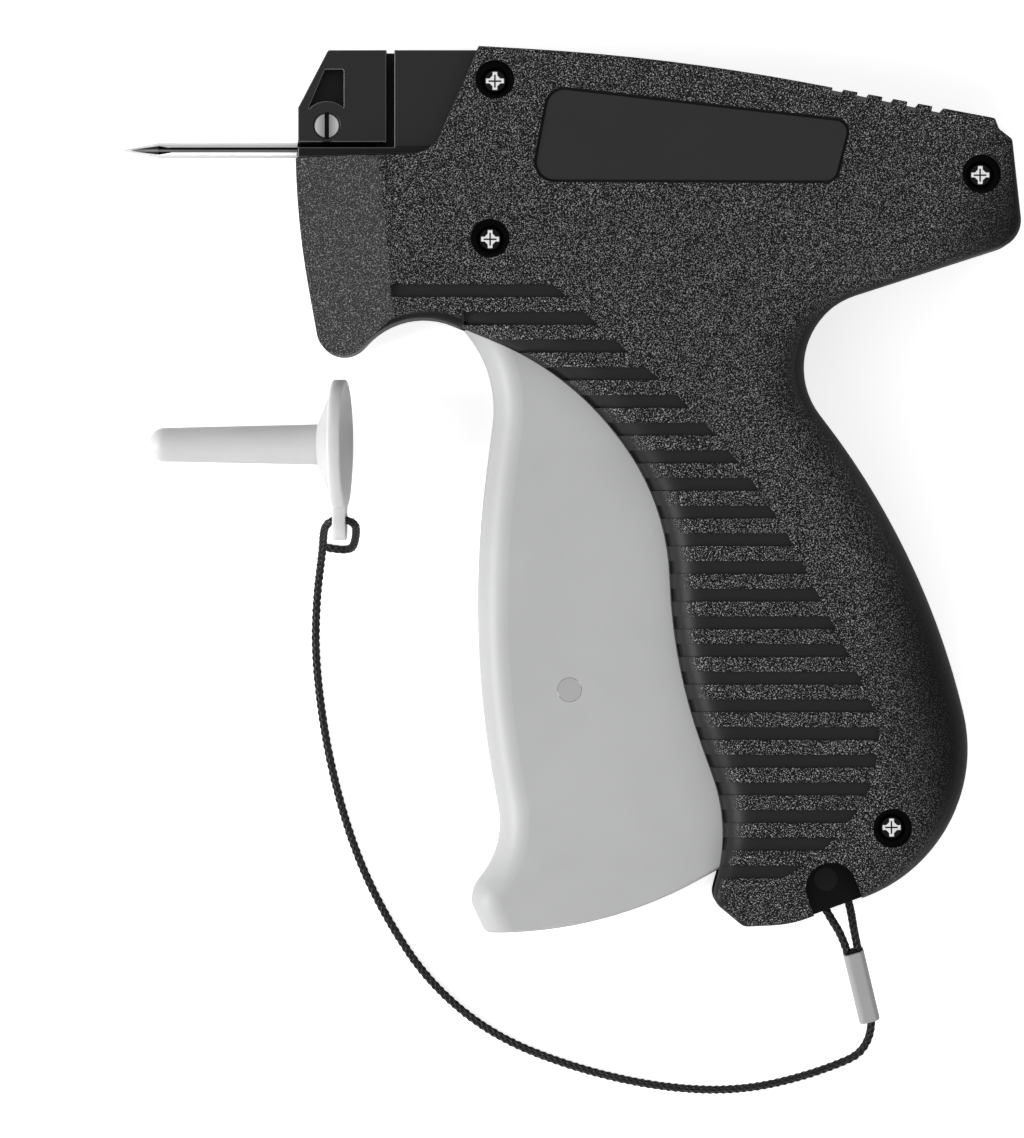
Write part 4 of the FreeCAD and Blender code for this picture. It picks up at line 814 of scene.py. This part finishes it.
# ---------------------------------------------------------------- operators
class TAGGUN_OT_stage(bpy.types.Operator):
    """Adds the camera, the table, the lamps and the sky"""

    bl_idname = "taggun.stage"
    bl_label = "Stage"

    def execute(self, context):
        settings = context.scene.taggun_stage
        scene = context.scene
        scene.view_settings.view_transform = "Standard"
        view = bpy.data.cameras.new("view")
        view.sensor_fit = "VERTICAL"
        view.sensor_height = CAMERA_SENSOR
        view.lens = CAMERA_SENSOR * settings.view_height / settings.view_tall
        view.clip_start, view.clip_end = CAMERA_CLIP
        camera = bpy.data.objects.new("view", view)
        camera.location = (settings.view_middle_x, settings.view_middle_y, settings.view_level + settings.view_height)
        scene.collection.objects.link(camera)
        scene.camera = camera
        self.table(settings)
        for name, place, width, power_setting in LAMPS:
            self.lamp(name, place, width, getattr(settings, power_setting))
        scene.world = self.sky(settings)
        return {"FINISHED"}

    def table(self, settings):
        """Pale table that shows white and keeps the shadow."""
        board = Finish("table", base=triple(settings.table_colour), roughness=0.9, specular=0.1)
        glow = board.node("ShaderNodeEmission")
        rays = board.node("ShaderNodeLightPath")
        seen = board.math("MULTIPLY", rays.outputs["Is Camera Ray"], settings.table_glow)
        mirrored = board.math("MULTIPLY", board.mirrored(rays), TABLE_MIRRORED)
        board.link(board.math("ADD", seen, mirrored), glow.inputs["Strength"])
        both = board.node("ShaderNodeAddShader")
        board.link(board.shader.outputs[0], both.inputs[0])
        board.link(glow.outputs[0], both.inputs[1])
        board.link(both.outputs[0], board.tree.nodes["Material Output"].inputs["Surface"])
        corners = [(x * TABLE_REACH, y * TABLE_REACH, 0.0) for x, y in ((-1, -1), (1, -1), (1, 1), (-1, 1))]
        mesh_piece("table", corners, [(0, 1, 2, 3)], board.material, smooth=False)

    def lamp(self, name, place, width, watts):
        """Square soft lamp that faces the gun."""
        light = bpy.data.lights.new(name, "AREA")
        light.size = width
        light.energy = watts
        made = bpy.data.objects.new(name, light)
        made.location = place
        made.rotation_euler = (LAMP_AIM - Vector(place)).to_track_quat("-Z", "Y").to_euler()
        bpy.context.scene.collection.objects.link(made)

    def sky(self, settings):
        """Soft light from all round, and what smooth surfaces mirror: dim low down, brighter overhead."""
        world = bpy.data.worlds.new("sky")
        board = Board(world)
        height = board.parts(board.node("ShaderNodeTexCoord").outputs["Generated"])[2]
        ramp = board.span(height, *SKY_BRIGHTENS, settings.sky_rim, settings.sky_crown, kind="LINEAR")
        rays = board.node("ShaderNodeLightPath")
        mirrored = board.mirrored(rays)
        soft = board.math("MULTIPLY", board.outside(mirrored), settings.sky_strength)
        strength = board.math("ADD", soft, board.math("MULTIPLY", mirrored, ramp))
        background = board.tree.nodes["Background"]
        board.link(board.either(strength, rays.outputs["Is Camera Ray"]), background.inputs["Strength"])
        background.inputs["Color"].default_value = (1.0, 1.0, 1.0, 1.0)
        return world


class TAGGUN_OT_lanyard(bpy.types.Operator):
    """Makes the braided cord that ties the needle cap to the gun"""

    bl_idname = "taggun.lanyard"
    bl_label = "Lanyard"

    def execute(self, context):
        settings = context.scene.taggun_lanyard
        points = along_curve(route_curve("lanyard_route", cord_route()))
        path, total = even_steps(points, CORD_STEP)
        verts, faces = braid(path, settings)
        cord = mesh_piece("lanyard_braid", verts, faces, cord_finish(settings))
        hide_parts("lanyard_cord")
        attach(cord, "root")
        return {"FINISHED"}


class TAGGUN_OT_housing(bpy.types.Operator):
    """Finishes the two housing halves, the head block and the side panel"""

    bl_idname = "taggun.housing"
    bl_label = "Housing"

    def execute(self, context):
        settings = context.scene.taggun_housing
        cover(housing_finish(settings), "left_shell", "right_shell")
        cover(head_finish(settings), "head_block")
        cover(satin_finish("panel_satin_plastic", triple(settings.panel), PANEL_ROUGHNESS), "side_panel")
        return {"FINISHED"}


class TAGGUN_OT_plastics(bpy.types.Operator):
    """Finishes the trigger, the needle cap and the plastic pieces inside"""

    bl_idname = "taggun.plastics"
    bl_label = "Light Plastics"

    def execute(self, context):
        settings = context.scene.taggun_plastics
        cover(satin_finish("trigger_plastic", triple(settings.trigger), settings.roughness), "trigger")
        cover(cap_finish(settings), "needle_cap")
        inner = satin_finish("inner_plastic", triple(settings.inner), INNER_ROUGHNESS)
        cover(inner, "slide_carriage", "feed_wheel", "spring_cup", "spring_seat")
        cover(satin_finish("hub_plastic", HUB_BLACK, DARK_ROUGHNESS), "needle_hub")
        return {"FINISHED"}


class TAGGUN_OT_metals(bpy.types.Operator):
    """Finishes the needle, the screws, the pins, the lever and the sleeve"""

    bl_idname = "taggun.metals"
    bl_label = "Metals"

    def execute(self, context):
        settings = context.scene.taggun_metals
        steel = steel_finish(settings)
        cover(needle_finish(settings), "needle_tube")
        cover(steel, "ejector_rod", "cutter_blade", "slide_pin", "drive_post", "drive_roller",
              "drive_lever", "feed_axle", "trigger_pivot_pin", "lever_pivot_pin")
        cover(screw_finish(settings), "case_screws")
        cover(lock_finish(settings), "needle_lock")
        cover(satin_finish("pin_grey", PIN_GREY, DARK_ROUGHNESS), "trigger_spring_pin")
        cover(satin_finish("post_plastic", POST_BLACK, DARK_ROUGHNESS), "lanyard_post")
        cover(satin_finish("sleeve_satin", triple(settings.sleeve), SLEEVE_ROUGHNESS), "crimp_sleeve")
        spring = mesh_piece("return_coil", *coil(), steel)
        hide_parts("return_spring")
        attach(spring, "root")
        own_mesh(spring)
        return {"FINISHED"}


class TAGGUN_PT_sidebar(bpy.types.Panel):
    """Lists the tag attacher's operators and settings"""

    bl_idname = "TAGGUN_PT_sidebar"
    bl_label = "Tag Attacher"
    bl_space_type = "VIEW_3D"
    bl_region_type = "UI"
    bl_category = "Tag Attacher"

    def draw(self, context):
        for operator in OPERATORS:
            self.layout.operator(operator.bl_idname)
        for name, group in GROUPS:
            settings = getattr(context.scene, name)
            for key in group.__annotations__:
                self.layout.prop(settings, key)


GROUPS = [
    ("taggun_stage", TAGGUN_PG_stage),
    ("taggun_housing", TAGGUN_PG_housing),
    ("taggun_plastics", TAGGUN_PG_plastics),
    ("taggun_metals", TAGGUN_PG_metals),
    ("taggun_lanyard", TAGGUN_PG_lanyard),
]
OPERATORS = [TAGGUN_OT_stage, TAGGUN_OT_lanyard, TAGGUN_OT_housing, TAGGUN_OT_plastics, TAGGUN_OT_metals]


def register():
    """Adds the settings, the operators and the sidebar."""
    for name, group in GROUPS:
        bpy.utils.register_class(group)
        setattr(bpy.types.Scene, name, bpy.props.PointerProperty(type=group))
    for operator in OPERATORS:
        bpy.utils.register_class(operator)
    bpy.utils.register_class(TAGGUN_PT_sidebar)


def unregister():
    """Takes them away again."""
    bpy.utils.unregister_class(TAGGUN_PT_sidebar)
    for operator in reversed(OPERATORS):
        bpy.utils.unregister_class(operator)
    for name, group in reversed(GROUPS):
        delattr(bpy.types.Scene, name)
        bpy.utils.unregister_class(group)


def main():
    """Dresses the model."""
    register()
    bpy.ops.taggun.stage()
    bpy.ops.taggun.lanyard()
    bpy.ops.taggun.housing()
    bpy.ops.taggun.plastics()
    bpy.ops.taggun.metals()


if __name__ == "__main__":
    main()
